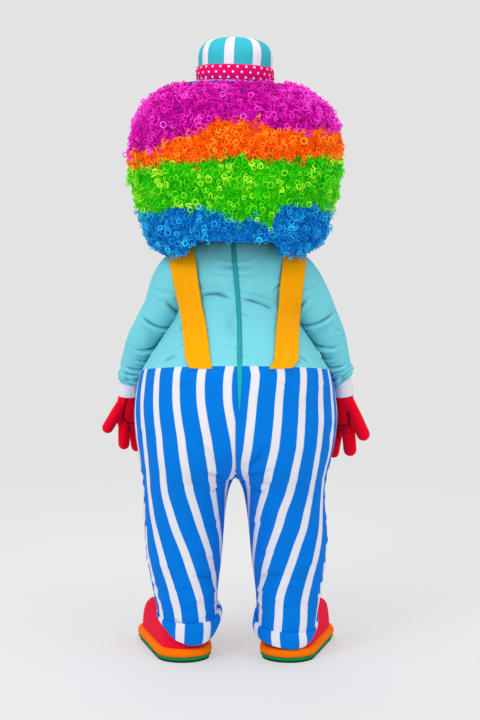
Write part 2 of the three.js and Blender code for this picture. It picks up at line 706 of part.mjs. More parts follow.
// A point on the flat between two rows of a surface, moved out; `side` as in gridOf.
function pointOnRows(surface, u, v, rows, side, lift) {
  const below = Math.floor(v * rows + 1e-6) / rows;
  const t = (v - below) * rows;
  const lifted = (at) => surface(u, at).addScaledVector(outwardNormal(surface, u, at, side), lift);
  return t < 1e-6 ? lifted(below) : lifted(below).lerp(lifted(below + 1 / rows), t);
}

// The zip lies on the middle seam of the back and runs on into the seat of the trousers.
function buildZip() {
  const onBack = (side, v, lift) => (
    pointOnRows(bodice, (1 - side / QUARTER) / 4, v, BODICE_ROWS, 1, lift));
  const onSeat = (side, v, lift) => {
    const leg = trouserLeg(side || LEFT, 1);
    return pointOnRows(leg, 1 - Math.abs(side) / QUARTER, v, TROUSER_ROWS, side || LEFT, lift);
  };
  const line = (pointOn, v, lift, width = ZIP_WIDTH) => {
    const middle = pointOn(0, v, lift).setX(0);
    const edge = (side) => middle.clone().add(pointOn(side, v, lift).sub(middle).setLength(width / 2));
    return [edge(LEFT), middle, edge(RIGHT)];
  };
  const strip = (lift) => {
    const lines = [];
    for (let j = BODICE_ROWS; j >= 0; j -= 1) lines.push(line(onBack, j / BODICE_ROWS, lift));
    lines.push(line(onSeat, 1 - 1 / TROUSER_ROWS, lift));
    lines.push(line(onSeat, 1 - ZIP_ROWS_IN_SEAT / TROUSER_ROWS, lift, ZIP_END_WIDTH));
    return lines;
  };
  addPiece('zip_tape', wallBetween(strip(TRIM_LIFT), strip(TRIM_LIFT + ZIP_WALL), false), colours.zip);
}

// ---------- Shoes

function shoeOutline(side, inset) {
  return (u) => {
    const angle = u * turn;
    const way = new THREE.Vector2(Math.cos(angle), Math.sin(angle));
    const reach = (end) => end.out * way.x + end.behind * way.y + end.radius;
    const share = THREE.MathUtils.smoothstep(reach(TOE) - reach(HEEL), -SHOE_EASE, SHOE_EASE);
    const x = THREE.MathUtils.lerp(HEEL.out, TOE.out, share);
    const y = THREE.MathUtils.lerp(HEEL.behind, TOE.behind, share);
    const radius = THREE.MathUtils.lerp(HEEL.radius, TOE.radius, share) - inset;
    return new THREE.Vector3(side * (x + radius * way.x), y + radius * way.y, 0);
  };
}

// One level ring between two heights, with the outline drawn in by an inset at each.
function shoeRing(side, rows) {
  return (u, v) => {
    const place = v * (rows.length - 1);
    const point = shoeOutline(side, column(rows, 'inset', place))(u);
    point.z = column(rows, 'height', place);
    return point;
  };
}

function upperSurface(side) {
  const base = shoeOutline(side, UPPER_INSET);
  const out = side === LEFT ? ANKLE.left : ANKLE.right;
  return (u, v) => {
    const foot = base(u);
    const angle = u * turn;
    const ankle = new THREE.Vector3(
      side * (out + ANKLE.wide * Math.cos(angle)),
      ANKLE.behind + ANKLE.deep * Math.sin(angle),
      0,
    );
    const lean = v * (Math.PI / 2);
    const toeward = THREE.MathUtils.smoothstep(-foot.y, TOE_FROM, -TOE.behind);
    const round = THREE.MathUtils.lerp(UPPER_ROUND.heel, UPPER_ROUND.toe, toeward);
    const point = foot.lerp(ankle, power(1 - Math.cos(lean), round));
    const rise = power(Math.sin(lean), 0.92);
    const bulge = TOE_BULGE * toeward * Math.sin(Math.PI * Math.min(v / TOE_ENDS, 1));
    point.z = BAND_TOP + (ANKLE.height - BAND_TOP) * rise + bulge;
    return point;
  };
}

function buildShoes() {
  [['left', LEFT], ['right', RIGHT]].forEach(([name, side]) => {
    const patch = { u: [0, 1], v: [0, 1], columns: 20, rows: 5, side };
    const upper = clothWall(upperSurface(side), patch, { wall: UPPER_WALL, closed: true });
    addPiece(`shoe_${name}_upper`, upper, colours.red);
    const padded = (rows, width) => {
      const ring = { ...patch, rows: rows.length - 1 };
      const outer = gridOf(shoeRing(side, rows), ring, 0);
      const insetRows = rows.map((row) => ({ ...row, inset: row.inset + width }));
      const inner = gridOf(shoeRing(side, insetRows), ring, 0);
      trimEdges(outer, true);
      trimEdges(inner, true);
      return wallBetween(inner, outer, true);
    };
    const band = [
      { height: WELT_TOP, inset: 3 }, { height: (WELT_TOP + BAND_TOP) / 2, inset: 0 },
      { height: BAND_TOP, inset: 6 },
    ];
    addPiece(`shoe_${name}_band`, padded(band, BAND_WIDTH), colours.orange);
    const welt = [{ height: SOLE_TOP, inset: 7 }, { height: WELT_TOP, inset: 3 }];
    addPiece(`shoe_${name}_welt`, padded(welt, BAND_WIDTH), colours.green);
    const sole = shoeRing(side, [{ height: 0, inset: 11 }, { height: SOLE_TOP - SEAM, inset: 9 }]);
    addPiece(`shoe_${name}_sole`, filled(sole, { ...patch, rows: 1 }, 0), colours.black, 0.9);
  });
}

// ---------- Head, wig and hat

function levelSurface(rows, squareness) {
  return (u, v) => {
    const place = v * (rows.length - 1);
    const [x, y] = ringPoint(u * turn, column(rows, 'wide', place), column(rows, 'deep', place), squareness);
    return new THREE.Vector3(x, y, column(rows, 'height', place));
  };
}

const HEAD_SQUARENESS = 2.1;
const WIG_SQUARENESS = 2.4;
const head = levelSurface(HEAD, HEAD_SQUARENESS);
const headPatch = { u: [0, 1], v: [0, 1], columns: 18, rows: 7 };
const headFilled = (offset) => solidOf(filled(head, headPatch, offset));

function ellipse(x, height, wide, high, count = 14) {
  const points = [];
  for (let n = 0; n < count; n += 1) {
    const angle = turn * (n / count);
    points.push([x + wide * Math.cos(angle), height + high * Math.sin(angle)]);
  }
  return points;
}

// Plain features on the face: place and half sizes
const EYE = { out: 72, height: 1590, wide: 34, high: 46 };
const MOUTH = { height: 1440, wide: 84, high: 30 };
const NOSE = { height: 1520, radius: 38, forward: 24 };
const FACE_REACH = [-400, -60];
const HEAD_MOUTH = { above: 1, wide: 300, low: 1200 };

function buildHead() {
  const shell = headFilled(0).subtract(headFilled(-SHELL_WALL));
  const { wide, low } = HEAD_MOUTH;
  const below = HEAD[0].height + HEAD_MOUTH.above;
  const outline = [[-wide, low], [wide, low], [wide, below], [-wide, below]];
  const opening = solidOf(prismAlongY(outline, -wide, wide));
  const inside = { wide: HEAD[0].wide - SHELL_WALL, deep: HEAD[0].deep - SHELL_WALL };
  const ends = [{ height: HEAD[0].height - 20, ...inside }, { height: HEAD[0].height + 20, ...inside }];
  const hollowEnd = solidOf(filled(levelSurface(ends, HEAD_SQUARENESS), { ...headPatch, rows: 1 }, 0));
  addPiece('head_shell', geometryFrom(shell.subtract(opening).subtract(hollowEnd)), colours.skin);
  const faceLayer = headFilled(SEAM + WALL).subtract(headFilled(SEAM));
  const onFace = (shape) => geometryFrom(faceLayer.intersect(solidOf(prismAlongY(shape, ...FACE_REACH))));
  addPiece('eye_left', onFace(ellipse(EYE.out, EYE.height, EYE.wide, EYE.high)), colours.white, 0.4);
  addPiece('eye_right', onFace(ellipse(-EYE.out, EYE.height, EYE.wide, EYE.high)), colours.white, 0.4);
  addPiece('mouth', onFace(ellipse(0, MOUTH.height, MOUTH.wide, MOUTH.high)), colours.red, 0.7);
  const ball = new THREE.SphereGeometry(NOSE.radius, 16, 12);
  const surface = column(HEAD, 'deep', placeAt(HEAD, NOSE.height));
  ball.translate(0, -surface - NOSE.forward, NOSE.height);
  addPiece('nose', geometryFrom(solidOf(merged(ball)).subtract(headFilled(SEAM))), colours.red, 0.6);
}

const wig = levelSurface(WIG, WIG_SQUARENESS);

function seatHat(geometry) {
  geometry.rotateY(HAT_TILT);
  geometry.translate(HAT_SHIFT, 0, HAT_SEAT - HAT_SINK);
  return geometry;
}

// What the wig is cut back from: the head and neck, the face, the shoulders and the seat of the hat
function wigRoom() {
  const wide = HEAD[0].wide + NECK_SPARE;
  const deep = HEAD[0].deep + NECK_SPARE;
  const [from, to] = NECK_HEIGHTS;
  const neckRows = [{ height: from, wide, deep }, { height: to, wide, deep }];
  const neck = solidOf(filled(levelSurface(neckRows, HEAD_SQUARENESS), { ...headPatch, rows: 1 }, 0));
  const faceMiddle = (FACE.low + FACE.high) / 2;
  const faceHalf = (FACE.high - FACE.low) / 2;
  const face = prismAlongY(ellipse(0, faceMiddle, FACE.wide, faceHalf, 20), -FAR, -FACE.depth);
  const chin = prismAlongY(CHIN, -FAR, -FACE.depth);
  const nape = prismAlongY(NAPE, NAPE_FROM, FAR);
  const over = TRIM_LIFT + STRAP_WALL + SEAM;
  const seatRadius = BRIM_RADIUS + BRIM_SEAT.spare;
  const seat = new THREE.CylinderGeometry(seatRadius, seatRadius, BRIM_SEAT.deep, 28);
  seat.rotateX(Math.PI / 2);
  seat.translate(0, 0, BRIM_SEAT.deep / 2 - SEAM);
  seatHat(seat);
  return headFilled(SEAM).add(neck).add(bodyFilled(over))
    .add(sleeveFilled(LEFT, over)).add(sleeveFilled(RIGHT, over))
    .add(solidOf(face)).add(solidOf(chin)).add(solidOf(nape)).add(solidOf(merged(seat)));
}

function buildWig() {
  const outer = solidOf(filled(wig, { u: [0, 1], v: [0, 1], columns: 24, rows: 10 }, 0));
  const hair = outer.subtract(wigRoom());
  WIG_BANDS.forEach(({ name, low, high, colour }) => {
    const bottom = low + SEAM / 2;
    const top = high - SEAM / 2;
    const slab = prismAlongY([[-FAR, bottom], [FAR, bottom], [FAR, top], [-FAR, top]], -FAR, FAR);
    addPiece(name, geometryFrom(hair.intersect(solidOf(slab))), colour, 0.6);
  });
}

function buildHat() {
  const patch = { u: [0, 1], v: [0, 1], columns: 18, rows: 5 };
  const round = (height, radius) => ({ height, wide: radius, deep: radius });
  const crown = levelSurface(CROWN.map(({ height, radius }) => round(height, radius)), 2);
  const shell = solidOf(filled(crown, patch, 0));
  const hollow = solidOf(filled(crown, patch, -WALL));
  const plug = (radius) => {
    const rows = [round(-PLUG_REACH, radius), round(PLUG_REACH, radius)];
    return solidOf(filled(levelSurface(rows, 2), { ...patch, rows: 1 }, 0));
  };
  const cap = shell.subtract(hollow).subtract(plug(CROWN_RADIUS - WALL));
  addPiece('hat_crown', seatHat(geometryFrom(cap)), colours.hat);
  const band = (u, v) => {
    const height = BAND_LOW + (BAND_HIGH - BAND_LOW) * v;
    const bulge = BAND_BULGE * Math.sin(Math.PI * THREE.MathUtils.clamp(v, 0, 1));
    const radius = column(CROWN, 'radius', placeAt(CROWN, height)) + bulge;
    return new THREE.Vector3(radius * Math.cos(u * turn), radius * Math.sin(u * turn), height);
  };
  const bandWall = clothWall(band, { ...patch, rows: 3 }, { wall: THICK_WALL, lift: SEAM, closed: true });
  addPiece('hat_band', seatHat(bandWall), colours.pink);
  const brimRows = [
    round(0, BRIM_RADIUS),
    round(BRIM_EDGE, BRIM_RADIUS),
    round(BRIM_TOP, CROWN_RADIUS + WALL),
  ];
  const disc = solidOf(filled(levelSurface(brimRows, 2), { ...patch, rows: 2 }, 0));
  addPiece('hat_brim', seatHat(geometryFrom(disc.subtract(plug(CROWN_RADIUS + SEAM)))), colours.hat);
}

buildBodice();
buildSleeves();
buildGloves();
buildStraps();
buildTrousers();
buildTurnups();
buildZip();
buildShoes();
buildHead();
buildWig();
buildHat();

export default group;
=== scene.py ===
import json
import math

import bmesh
import bpy
import numpy as np
from bpy.props import FloatProperty, FloatVectorProperty, IntProperty, PointerProperty
from bpy.types import Operator, Panel, PropertyGroup
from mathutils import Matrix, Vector
from mathutils.bvhtree import BVHTree

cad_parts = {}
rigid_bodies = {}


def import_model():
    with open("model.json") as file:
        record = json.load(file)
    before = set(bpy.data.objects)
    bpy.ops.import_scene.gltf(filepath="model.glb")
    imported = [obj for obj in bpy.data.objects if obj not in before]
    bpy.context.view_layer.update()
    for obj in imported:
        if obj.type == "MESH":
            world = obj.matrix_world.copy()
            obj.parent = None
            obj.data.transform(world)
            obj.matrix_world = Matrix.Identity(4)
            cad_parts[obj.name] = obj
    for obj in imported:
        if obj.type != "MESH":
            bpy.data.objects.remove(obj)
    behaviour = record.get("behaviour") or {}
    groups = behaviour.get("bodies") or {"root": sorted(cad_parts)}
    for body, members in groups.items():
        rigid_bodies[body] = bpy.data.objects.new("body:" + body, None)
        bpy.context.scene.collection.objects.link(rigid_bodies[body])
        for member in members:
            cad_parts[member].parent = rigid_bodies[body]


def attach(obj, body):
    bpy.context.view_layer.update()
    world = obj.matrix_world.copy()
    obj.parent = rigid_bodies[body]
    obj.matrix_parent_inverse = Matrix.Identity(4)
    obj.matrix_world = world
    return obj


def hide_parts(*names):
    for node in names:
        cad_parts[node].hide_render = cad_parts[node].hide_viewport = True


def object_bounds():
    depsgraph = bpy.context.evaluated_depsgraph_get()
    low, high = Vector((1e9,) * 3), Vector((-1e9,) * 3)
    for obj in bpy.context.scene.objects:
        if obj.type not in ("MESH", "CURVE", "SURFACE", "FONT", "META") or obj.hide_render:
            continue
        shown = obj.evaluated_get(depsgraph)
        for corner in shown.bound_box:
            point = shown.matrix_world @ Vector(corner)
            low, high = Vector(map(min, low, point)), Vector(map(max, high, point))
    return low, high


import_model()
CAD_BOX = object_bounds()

bl_info = {
    "name": "Clown Costume",
    "version": (1, 0, 0),
    "blender": (4, 5, 0),
    "location": "3D View > Sidebar > Costume",
    "description": "Builds the cloth, curls and trim of a clown costume round its frame",
    "category": "Object",
}

MM = 0.001
TURN = 2 * math.pi
FLOOR = CAD_BOX[0].z
LEFT, RIGHT = 1, -1
SIDES = {"left": LEFT, "right": RIGHT}
NAMES = {LEFT: "left", RIGHT: "right"}
CLOTH_WALL, HEM_WALL, SHOE_WALL, HEAD_WALL = 1.6, 2.6, 3, 8
# How square the sections are: 2 is round, and more is squarer
BODY_SQUARENESS, HEAD_SQUARENESS, WIG_SQUARENESS, HAT_SQUARENESS = 2.15, 2.1, 2.4, 2


def rgb(code):
    """A linear colour from six hex digits."""
    parts = [int(code[k:k + 2], 16) / 255 for k in (0, 2, 4)]
    return tuple(c / 12.92 if c <= 0.04045 else ((c + 0.055) / 1.055) ** 2.4 for c in parts) + (1.0,)


# ---------- Sizes

WAIST_RISE_BACK, WAIST_DIP_FRONT = 38, 12
ARM_RIGHT = {"out": 11, "wide": 8, "row": 3, "rows": 1.1}
LEG_SPREAD_RIGHT = 12
HIP_TRIM_RIGHT = {"most": 12, "height": 530, "along": 100}
WRIST_ROW, CUFF_END_ROW, CUFF_DROP = 6, 7, 0.14
CUFF_SLANTS = {"left": (0.02, 0.02), "right": (0.34, 0.06)}     # at the cuff's upper and lower edge
CUFF_POINTS = {"left": 0.3, "right": 0.06}
HEM_HEIGHT, HEM_BEND_FROM = 110, 400
ZIP_WIDTH, ZIP_END_WIDTH, ZIP_WALL = 15, 4, 1.2
CUFF_SLOPE = 0.04
ZIP_TOP, ZIP_END, WAIST_MIDDLE = 1356, 836, 972
ZIP_LINE = [(830, -12), (972, -13), (1100, -12), (1200, -5), (1290, 3), (1360, 8)]
STRAP_WALL, STRAP_CENTRE = 2.2, 1150
BACKS = ["bodice_back_left", "bodice_back_right"]


class Table:
    """Rows of named columns, read on a smooth curve between the rows."""

    def __init__(self, columns, rows):
        self.columns = columns.split()
        self.rows = np.array(rows, float)
        self.last = len(rows) - 1

    def read(self, column, place):
        value = self.rows[:, self.columns.index(column)]
        at = np.clip(place, 0, self.last)
        i = np.minimum(np.floor(at).astype(int), self.last - 1)
        t = at - i
        here, following = value[i], value[np.minimum(i + 1, self.last)]
        rise = (following - value[np.maximum(i - 1, 0)]) / 2
        next_rise = (value[np.minimum(i + 2, self.last)] - here) / 2
        step = following - here
        return here + t * (rise + t * (3 * step - 2 * rise - next_rise + t * (rise + next_rise - 2 * step)))

    def straight(self, column, height):
        """Between the rows in straight lines, by height; rows run upwards."""
        return np.interp(height, self.rows[:, 0], self.rows[:, self.columns.index(column)])

    def at_height(self, column, height):
        places = np.linspace(0, self.last, 600)
        heights = self.read("height", places)
        order = np.argsort(heights)
        return np.interp(height, heights[order], self.read(column, places)[order])


# Wide, deep and thick are half sizes, out is from the middle, and behind is towards the wearer's back
BODICE = Table("height wide deep behind", [
    (932, 305, 285, 5), (985, 273, 262, 4), (1050, 233, 228, 2), (1120, 191, 190, 0), (1190, 184, 164, 0),
    (1252, 190, 148, 2), (1302, 188, 134, 4), (1338, 158, 116, 4), (1358, 112, 96, 4),
])
BODICE_FOLDS = [  # angle round the body, height, reach across and along, depth, slope
    (112, 1186, 26, 13, 5, -0.9), (68, 1180, 24, 12, 5, 0.9), (90, 1262, 30, 16, 4, 0),
    (270, 1176, 34, 15, 5, 0),
]
# From the shoulder to the knuckles; turn is how far the section is turned about the arm, in degrees
ARM = Table("out behind height wide thick turn", [
    (105, 0, 1256, 56, 56, 0), (160, 0, 1246, 82, 80, 0), (197, -2, 1212, 78, 78, 0),
    (244, -12, 1128, 60, 62, 0), (299, -34, 1040, 51, 51, 10), (334, -64, 962, 42, 42, 20),
    (352, -84, 893, 31, 31, 30), (358, -92, 842, 32, 30, 38), (357, -98, 805, 46, 29, 44),
    (351, -106, 768, 56, 27, 48), (345, -112, 738, 50, 24, 48), (343, -114, 726, 34, 14, 48),
])
# Out and inner are where the outer and inner seam lie, turned is how far round the section goes from the one
# to the other, back and front are its half depths, and seat is how much higher the inner seam lies
TROUSERS = Table("height out inner turned back front seat behind", [
    (932, 305, 0, 90, 285, 285, 0, 5), (880, 319, 0, 90, 293, 292, 0, 3), (800, 330, 0, 93, 294, 292, 4, 0),
    (730, 326, 0.2, 102, 284, 280, -4, 0), (668, 316, 0.4, 122, 262, 256, -16, 0),
    (612, 306, 0.6, 150, 236, 230, -14, 0), (590, 303, 3, 180, 224, 220, 0, 0),
    (545, 301, 22, 180, 204, 200, 0, 0), (480, 300, 33, 180, 184, 180, 0, 0),
    (400, 297, 40, 180, 164, 160, 0, 0), (310, 289, 47, 180, 145, 142, 0, 2),
    (215, 272, 58, 180, 128, 126, 0, 4), (110, 253, 62, 180, 118, 116, 0, 4),
])
# The hems at the back (1) and the front (-1), in even steps from the outer seam to the inner: height over the
# lowest row, and depth turned up
HEMS = {
    ("left", 1): Table("above turned", [(24, 9), (9, 18), (-34, 55), (-49, 70), (-28, 50), (22, 26)]),
    ("left", -1): Table("above turned", [(24, 9), (24, 24), (19, 40), (21, 46), (29, 40), (22, 26)]),
    ("right", 1): Table("above turned", [(18, 9), (-38, 26), (-62, 52), (-56, 48), (-44, 42), (-24, 34)]),
    ("right", -1): Table("above turned", [(18, 9), (28, 24), (24, 40), (26, 46), (18, 42), (-24, 34)]),
}
# How far round from the outer seam the second white stripe lies, on each leg
STRIPE_PLACE = Table("height left right", [
    (945, 203, 163), (868, 217, 187), (795, 236, 202), (722, 245, 206), (645, 240, 204), (566, 217, 181),
    (486, 219, 188), (405, 226, 202), (325, 236, 213), (244, 242, 224), (165, 243, 225), (60, 246, 226),
])
STRIPE_PERIOD, STRIPE_WIDTH = 84, 27

HEEL = {"out": 172, "behind": 36, "radius": 94}
TOE = {"out": 215, "behind": -205, "radius": 120}
SOLE_TOP, WELT_TOP, BAND_TOP = 5, 16, 42
UPPER_INSET = 16
ANKLE = {"left": 157, "right": 173, "behind": -2, "wide": 57, "deep": 65, "height": 128}
TOE_BULGE, TOE_ENDS, TOE_FROM = 44, 0.8, 80
SHOE_EASE = 34
UPPER_ROUND = {"heel": 0.68, "toe": 0.94}

HEAD = Table("height wide deep", [
    (1374, 164, 154), (1412, 196, 186), (1480, 218, 210), (1570, 224, 216), (1660, 208, 200),
    (1730, 166, 158), (1768, 104, 98), (1778, 46, 42),
])
WIG_ROWS = [
    (1302, 214, 204), (1330, 256, 238), (1375, 290, 266), (1440, 306, 280), (1510, 329, 293),
    (1590, 338, 298), (1670, 336, 296), (1740, 322, 285), (1790, 287, 259), (1824, 246, 224),
    (1846, 192, 180),
]
WIG = Table("height wide deep", WIG_ROWS)
# The arch over the nape where the curls are shorter: how high they start, by the place across
NAPE = [(-142, 1290), (-134, 1330), (-110, 1349), (116, 1349), (143, 1330), (152, 1290)]
NAPE_FROM = 60
FACE = {"wide": 172, "low": 1352, "high": 1716, "depth": 40}
# Upper edge of each band of curls, by the bearing from the middle of the back towards the wearer's right
BAND_EDGES = {
    "wig_blue": [(-180, 1440), (-75, 1438), (-50, 1442), (-35, 1456), (-20, 1454), (-8, 1436), (-3, 1408),
                 (2, 1406), (10, 1430), (16, 1412), (23, 1392), (27, 1440), (32, 1458), (45, 1454),
                 (75, 1444)],
    "wig_green": [(-180, 1590), (-75, 1571), (-50, 1584), (-35, 1592), (-20, 1595), (0, 1602), (14, 1606),
                  (22, 1600), (28, 1586), (36, 1606), (45, 1604), (75, 1604)],
    "wig_orange": [(-180, 1690), (-75, 1610), (-50, 1636), (-30, 1676), (-12, 1720), (2, 1710), (14, 1722),
                   (26, 1680), (45, 1688), (75, 1690)],
    "wig_purple": [(-180, 2000), (75, 2000)],
}
BAND_NODES = ("wig_blue", "wig_green", "wig_orange", "wig_purple")

HAT_TILT = math.radians(-2)
HAT_SEAT, HAT_SINK, HAT_SHIFT = 1846, 1, 3
GORE_TURN, WHITE_GORE, GORE_SHIFT = 45, 15.5, 10        # degrees round the hat
BRIM_RADIUS, BRIM_MIDDLE, BRIM_TOP, CROWN_RADIUS = 163, 140, 8, 116
BAND_LOW, BAND_HIGH, BAND_BULGE = 12, 58, 6
DOT_ACROSS, DOT_UP, DOT_RADIUS = 27, 17, 3.5
DOTS_RADIUS, HAT_BAND_WALL = 121, 1.5


def round_table(rows):
    """A table of round sections, each a height and a radius."""
    return Table("height wide deep", [(height, radius, radius) for height, radius in rows])


CROWN = round_table([(6, 116), (60, 118), (96, 119), (120, 113), (138, 97), (149, 67), (153, 29), (153.5, 1)])

# The straps' outer and inner edges, from the middle
STRAPS = {
    ("left", "back"): Table("height outer inner", [
        (961, 141, 71), (986, 155, 76), (1090, 168, 91), (1213, 195, 120), (1320, 214, 138),
        (1400, 216, 140)]),
    ("left", "front"): Table("height outer inner", [
        (926, 150, 76), (1090, 176, 100), (1213, 197, 122), (1320, 214, 138), (1400, 216, 140)]),
    ("right", "back"): Table("height outer inner", [
        (960, 175, 102), (984, 195, 118), (1090, 203, 128), (1213, 216, 144), (1320, 227, 153),
        (1400, 226, 150)]),
    ("right", "front"): Table("height outer inner", [
        (926, 150, 76), (1090, 190, 114), (1213, 212, 138), (1320, 226, 152), (1400, 226, 150)]),
}

# Creases: where each starts and ends, its bow, half width and depth. The cloth stands out along the
# line and tucks in just below it. Across is measured from the middle on the bodice, in degrees round
# the sleeves and from the outer seam on the trousers.
BODICE_BACK_CREASES = [
    (2, 1180, 128, 1178, 18, 9, 4.5), (-138, 1134, -14, 1184, 9, 8, 6.0), (-64, 1296, 70, 1298, -18, 9, 3.0),
    (-84, 1268, 84, 1272, -16, 9, 2.4), (-52, 1238, 40, 1246, -8, 8, 1.6), (-48, 1122, -12, 1134, 4, 6, 1.8),
    (66, 1078, 108, 1074, 5, 6, 1.8), (100, 1212, 150, 1236, 4, 7, 2.2), (-150, 1226, -110, 1196, 4, 7, 2.0),
    (-40, 1040, 44, 1048, -8, 9, 1.2), (-30, 1004, -4, 1010, 2, 6, 1.4), (8, 992, 30, 998, 2, 6, 1.2),
    (150, 1120, 186, 1070, 6, 10, 3.4), (-196, 1068, -152, 1120, 6, 10, 3.4),
    (180, 1010, 238, 980, 6, 10, 2.2), (-240, 978, -186, 1012, 6, 10, 2.2),
    (150, 1040, 196, 1022, 4, 7, 1.4), (-206, 1030, -160, 1048, 4, 7, 1.4),
]
BODICE_FRONT_CREASES = [
    (-120, 1176, -6, 1190, 14, 9, 5.0), (8, 1188, 126, 1170, 14, 9, 4.6), (-60, 1290, 66, 1286, -16, 9, 3.0),
    (-82, 1252, 78, 1258, -14, 9, 2.2), (-110, 1092, -66, 1086, 5, 7, 1.8), (40, 1116, 96, 1104, 5, 7, 1.8),
    (-196, 1066, -150, 1122, 6, 10, 3.4), (152, 1122, 194, 1068, 6, 10, 3.4),
    (-236, 984, -180, 1014, 6, 10, 2.2),
    (-50, 1010, 46, 1006, 7, 8, 1.4),
]
SLEEVE_CREASES = [  # the first side is the body's, round the back of the arm to its outer side
    (184, 286, 286, 262, 9, 9, 5.6), (176, 322, 344, 346, 12, 8, 5.8), (196, 344, 268, 352, 5, 6, 3.6),
    (182, 398, 320, 446, 10, 9, 5.0), (214, 416, 266, 424, 4, 6, 2.6), (198, 470, 300, 478, 6, 7, 3.6),
    (180, 506, 344, 528, 10, 8, 5.4), (232, 536, 352, 548, 6, 5, 4.2), (180, 560, 300, 574, 5, 5, 4.8),
    (0, 560, 150, 574, 6, 5, 4.2), (20, 524, 160, 508, 6, 8, 4.4), (10, 446, 130, 420, 9, 9, 4.2),
    (34, 366, 172, 330, 9, 9, 4.8), (60, 304, 150, 292, 6, 7, 3.0), (246, 226, 330, 256, 8, 11, 3.2),
    (60, 228, 150, 252, 8, 11, 3.0), (300, 384, 350, 408, 4, 8, 2.6), (20, 478, 90, 470, 4, 6, 2.8),
]
TROUSER_CREASES = [
    (300, 905, 352, 934, -4, 7, 1.8), (150, 880, 190, 925, 4, 9, 1.6), (420, 700, 452, 640, 5, 10, 3.6),
    (360, 648, 470, 606, 8, 12, 4.4), (392, 740, 446, 672, 6, 12, 2.6), (330, 560, 440, 586, 6, 12, 3.6),
    (20, 640, 96, 596, 8, 13, 3.2), (6, 585, 88, 560, 8, 11, 4.0), (8, 520, 84, 508, 8, 10, 4.2),
    (4, 452, 90, 432, 8, 10, 4.4), (10, 388, 78, 364, 6, 10, 4.0), (6, 322, 82, 306, 6, 10, 3.8),
    (20, 262, 104, 236, 6, 9, 3.6), (40, 214, 120, 196, 6, 8, 3.4), (60, 176, 150, 164, -5, 7, 3.0),
    (150, 232, 226, 258, 6, 9, 2.8), (176, 192, 262, 214, -6, 8, 3.2), (232, 300, 330, 274, 8, 11, 3.6),
    (250, 372, 352, 342, 8, 12, 3.0), (268, 232, 350, 206, 7, 9, 3.6), (290, 180, 360, 168, 6, 8, 3.2),
    (236, 158, 318, 170, -5, 7, 2.6), (110, 150, 200, 146, -4, 6, 2.6), (300, 470, 420, 438, 8, 13, 3.0),
    (120, 320, 210, 300, 8, 12, 1.8), (96, 700, 150, 780, 6, 16, 1.6),
]


# ---------- Surfaces, each a function of the turn u and the place v

def ring_point(angle, wide, deep, squareness=BODY_SQUARENESS):
    c, s = np.cos(angle), np.sin(angle)
    reach = (np.abs(c) ** squareness + np.abs(s) ** squareness) ** (-1 / squareness)
    return wide * c * reach, deep * s * reach


def depth_share(across, squareness):
    """How much of its full depth a section has, by the place across it from 0 at the middle to 1."""
    return np.clip(1 - np.abs(across) ** squareness, 0, 1) ** (1 / squareness)


def waist_lift(angle):
    s = np.sin(angle)
    return np.where(s > 0, WAIST_RISE_BACK * s, WAIST_DIP_FRONT * s)


def in_frame(x, y, height):
    return np.stack(np.broadcast_arrays(x, y, height), -1) * MM + (0, 0, FLOOR)


def height_of(points):
    """Heights above the floor, in millimetres."""
    return (points[..., 2] - FLOOR) / MM


def smooth(value):
    t = np.clip(value, 0, 1)
    return t * t * (3 - 2 * t)


def unit(vectors):
    return vectors / np.maximum(np.linalg.norm(vectors, axis=-1, keepdims=True), 1e-12)


def facing(surface, u, v, step=1e-3):
    """Outward directions of a surface, from its slope both ways."""
    turnwise = surface(u + step, v) - surface(u - step, v)
    upward = surface(u, v + step) - surface(u, v - step)
    return unit(np.cross(turnwise, upward))


def run_along(points, axis):
    """The distance from the first point, along each line of a grid."""
    gaps = np.linalg.norm(np.diff(points, axis=axis), axis=-1)
    return np.concatenate([np.zeros_like(gaps.take([0], axis)), np.cumsum(gaps, axis)], axis)


def bodice(u, v):
    place = np.clip(v, 0, 1) * BODICE.last
    angle = u * TURN
    height = BODICE.read("height", place)
    fold = 0
    for degrees, at, across, along, depth, slope in BODICE_FOLDS:
        a = ((np.degrees(angle) - degrees + 540) % 360 - 180) / across
        b = (height - at - slope * a * across) / along
        fold = fold + depth * np.exp(-a * a - b * b)
    x, y = ring_point(angle, BODICE.read("wide", place) - fold, BODICE.read("deep", place) - fold)
    level = np.maximum(0, 1 - place / 3) ** 2
    return in_frame(x, y + BODICE.read("behind", place), height + level * waist_lift(angle))


def fuller(side, place):
    """How much of the right arm's extra fullness is at a place along it."""
    return np.exp(-(((place - ARM_RIGHT["row"]) / ARM_RIGHT["rows"]) ** 2)) * (side == RIGHT)


def arm_line(side, place):
    out = ARM.read("out", place) + ARM_RIGHT["out"] * fuller(side, place)
    return in_frame(side * out, ARM.read("behind", place), ARM.read("height", place))


def arm(side):
    def surface(u, v):
        place = v * ARM.last
        along = unit(arm_line(side, place + 0.05) - arm_line(side, place - 0.05))
        across = unit(np.array([1.0, 0, 0]) - along * along[..., :1])
        through = np.cross(along, across)
        bearing = -side * np.radians(ARM.read("turn", place))[..., None]
        wide_way = across * np.cos(bearing) + through * np.sin(bearing)
        thick_way = through * np.cos(bearing) - across * np.sin(bearing)
        angle = (u * TURN)[..., None]
        wide = (ARM.read("wide", place) + ARM_RIGHT["wide"] * fuller(side, place))[..., None]
        thick = ARM.read("thick", place)[..., None]
        round_arm = wide_way * wide * np.cos(angle) + thick_way * thick * np.sin(angle)
        return arm_line(side, place) + round_arm * MM
    return surface


def hem_at(side, face, u, column):
    hem = HEMS[NAMES[side], face]
    return hem.read(column, np.clip(u, 0, 1) * hem.last)


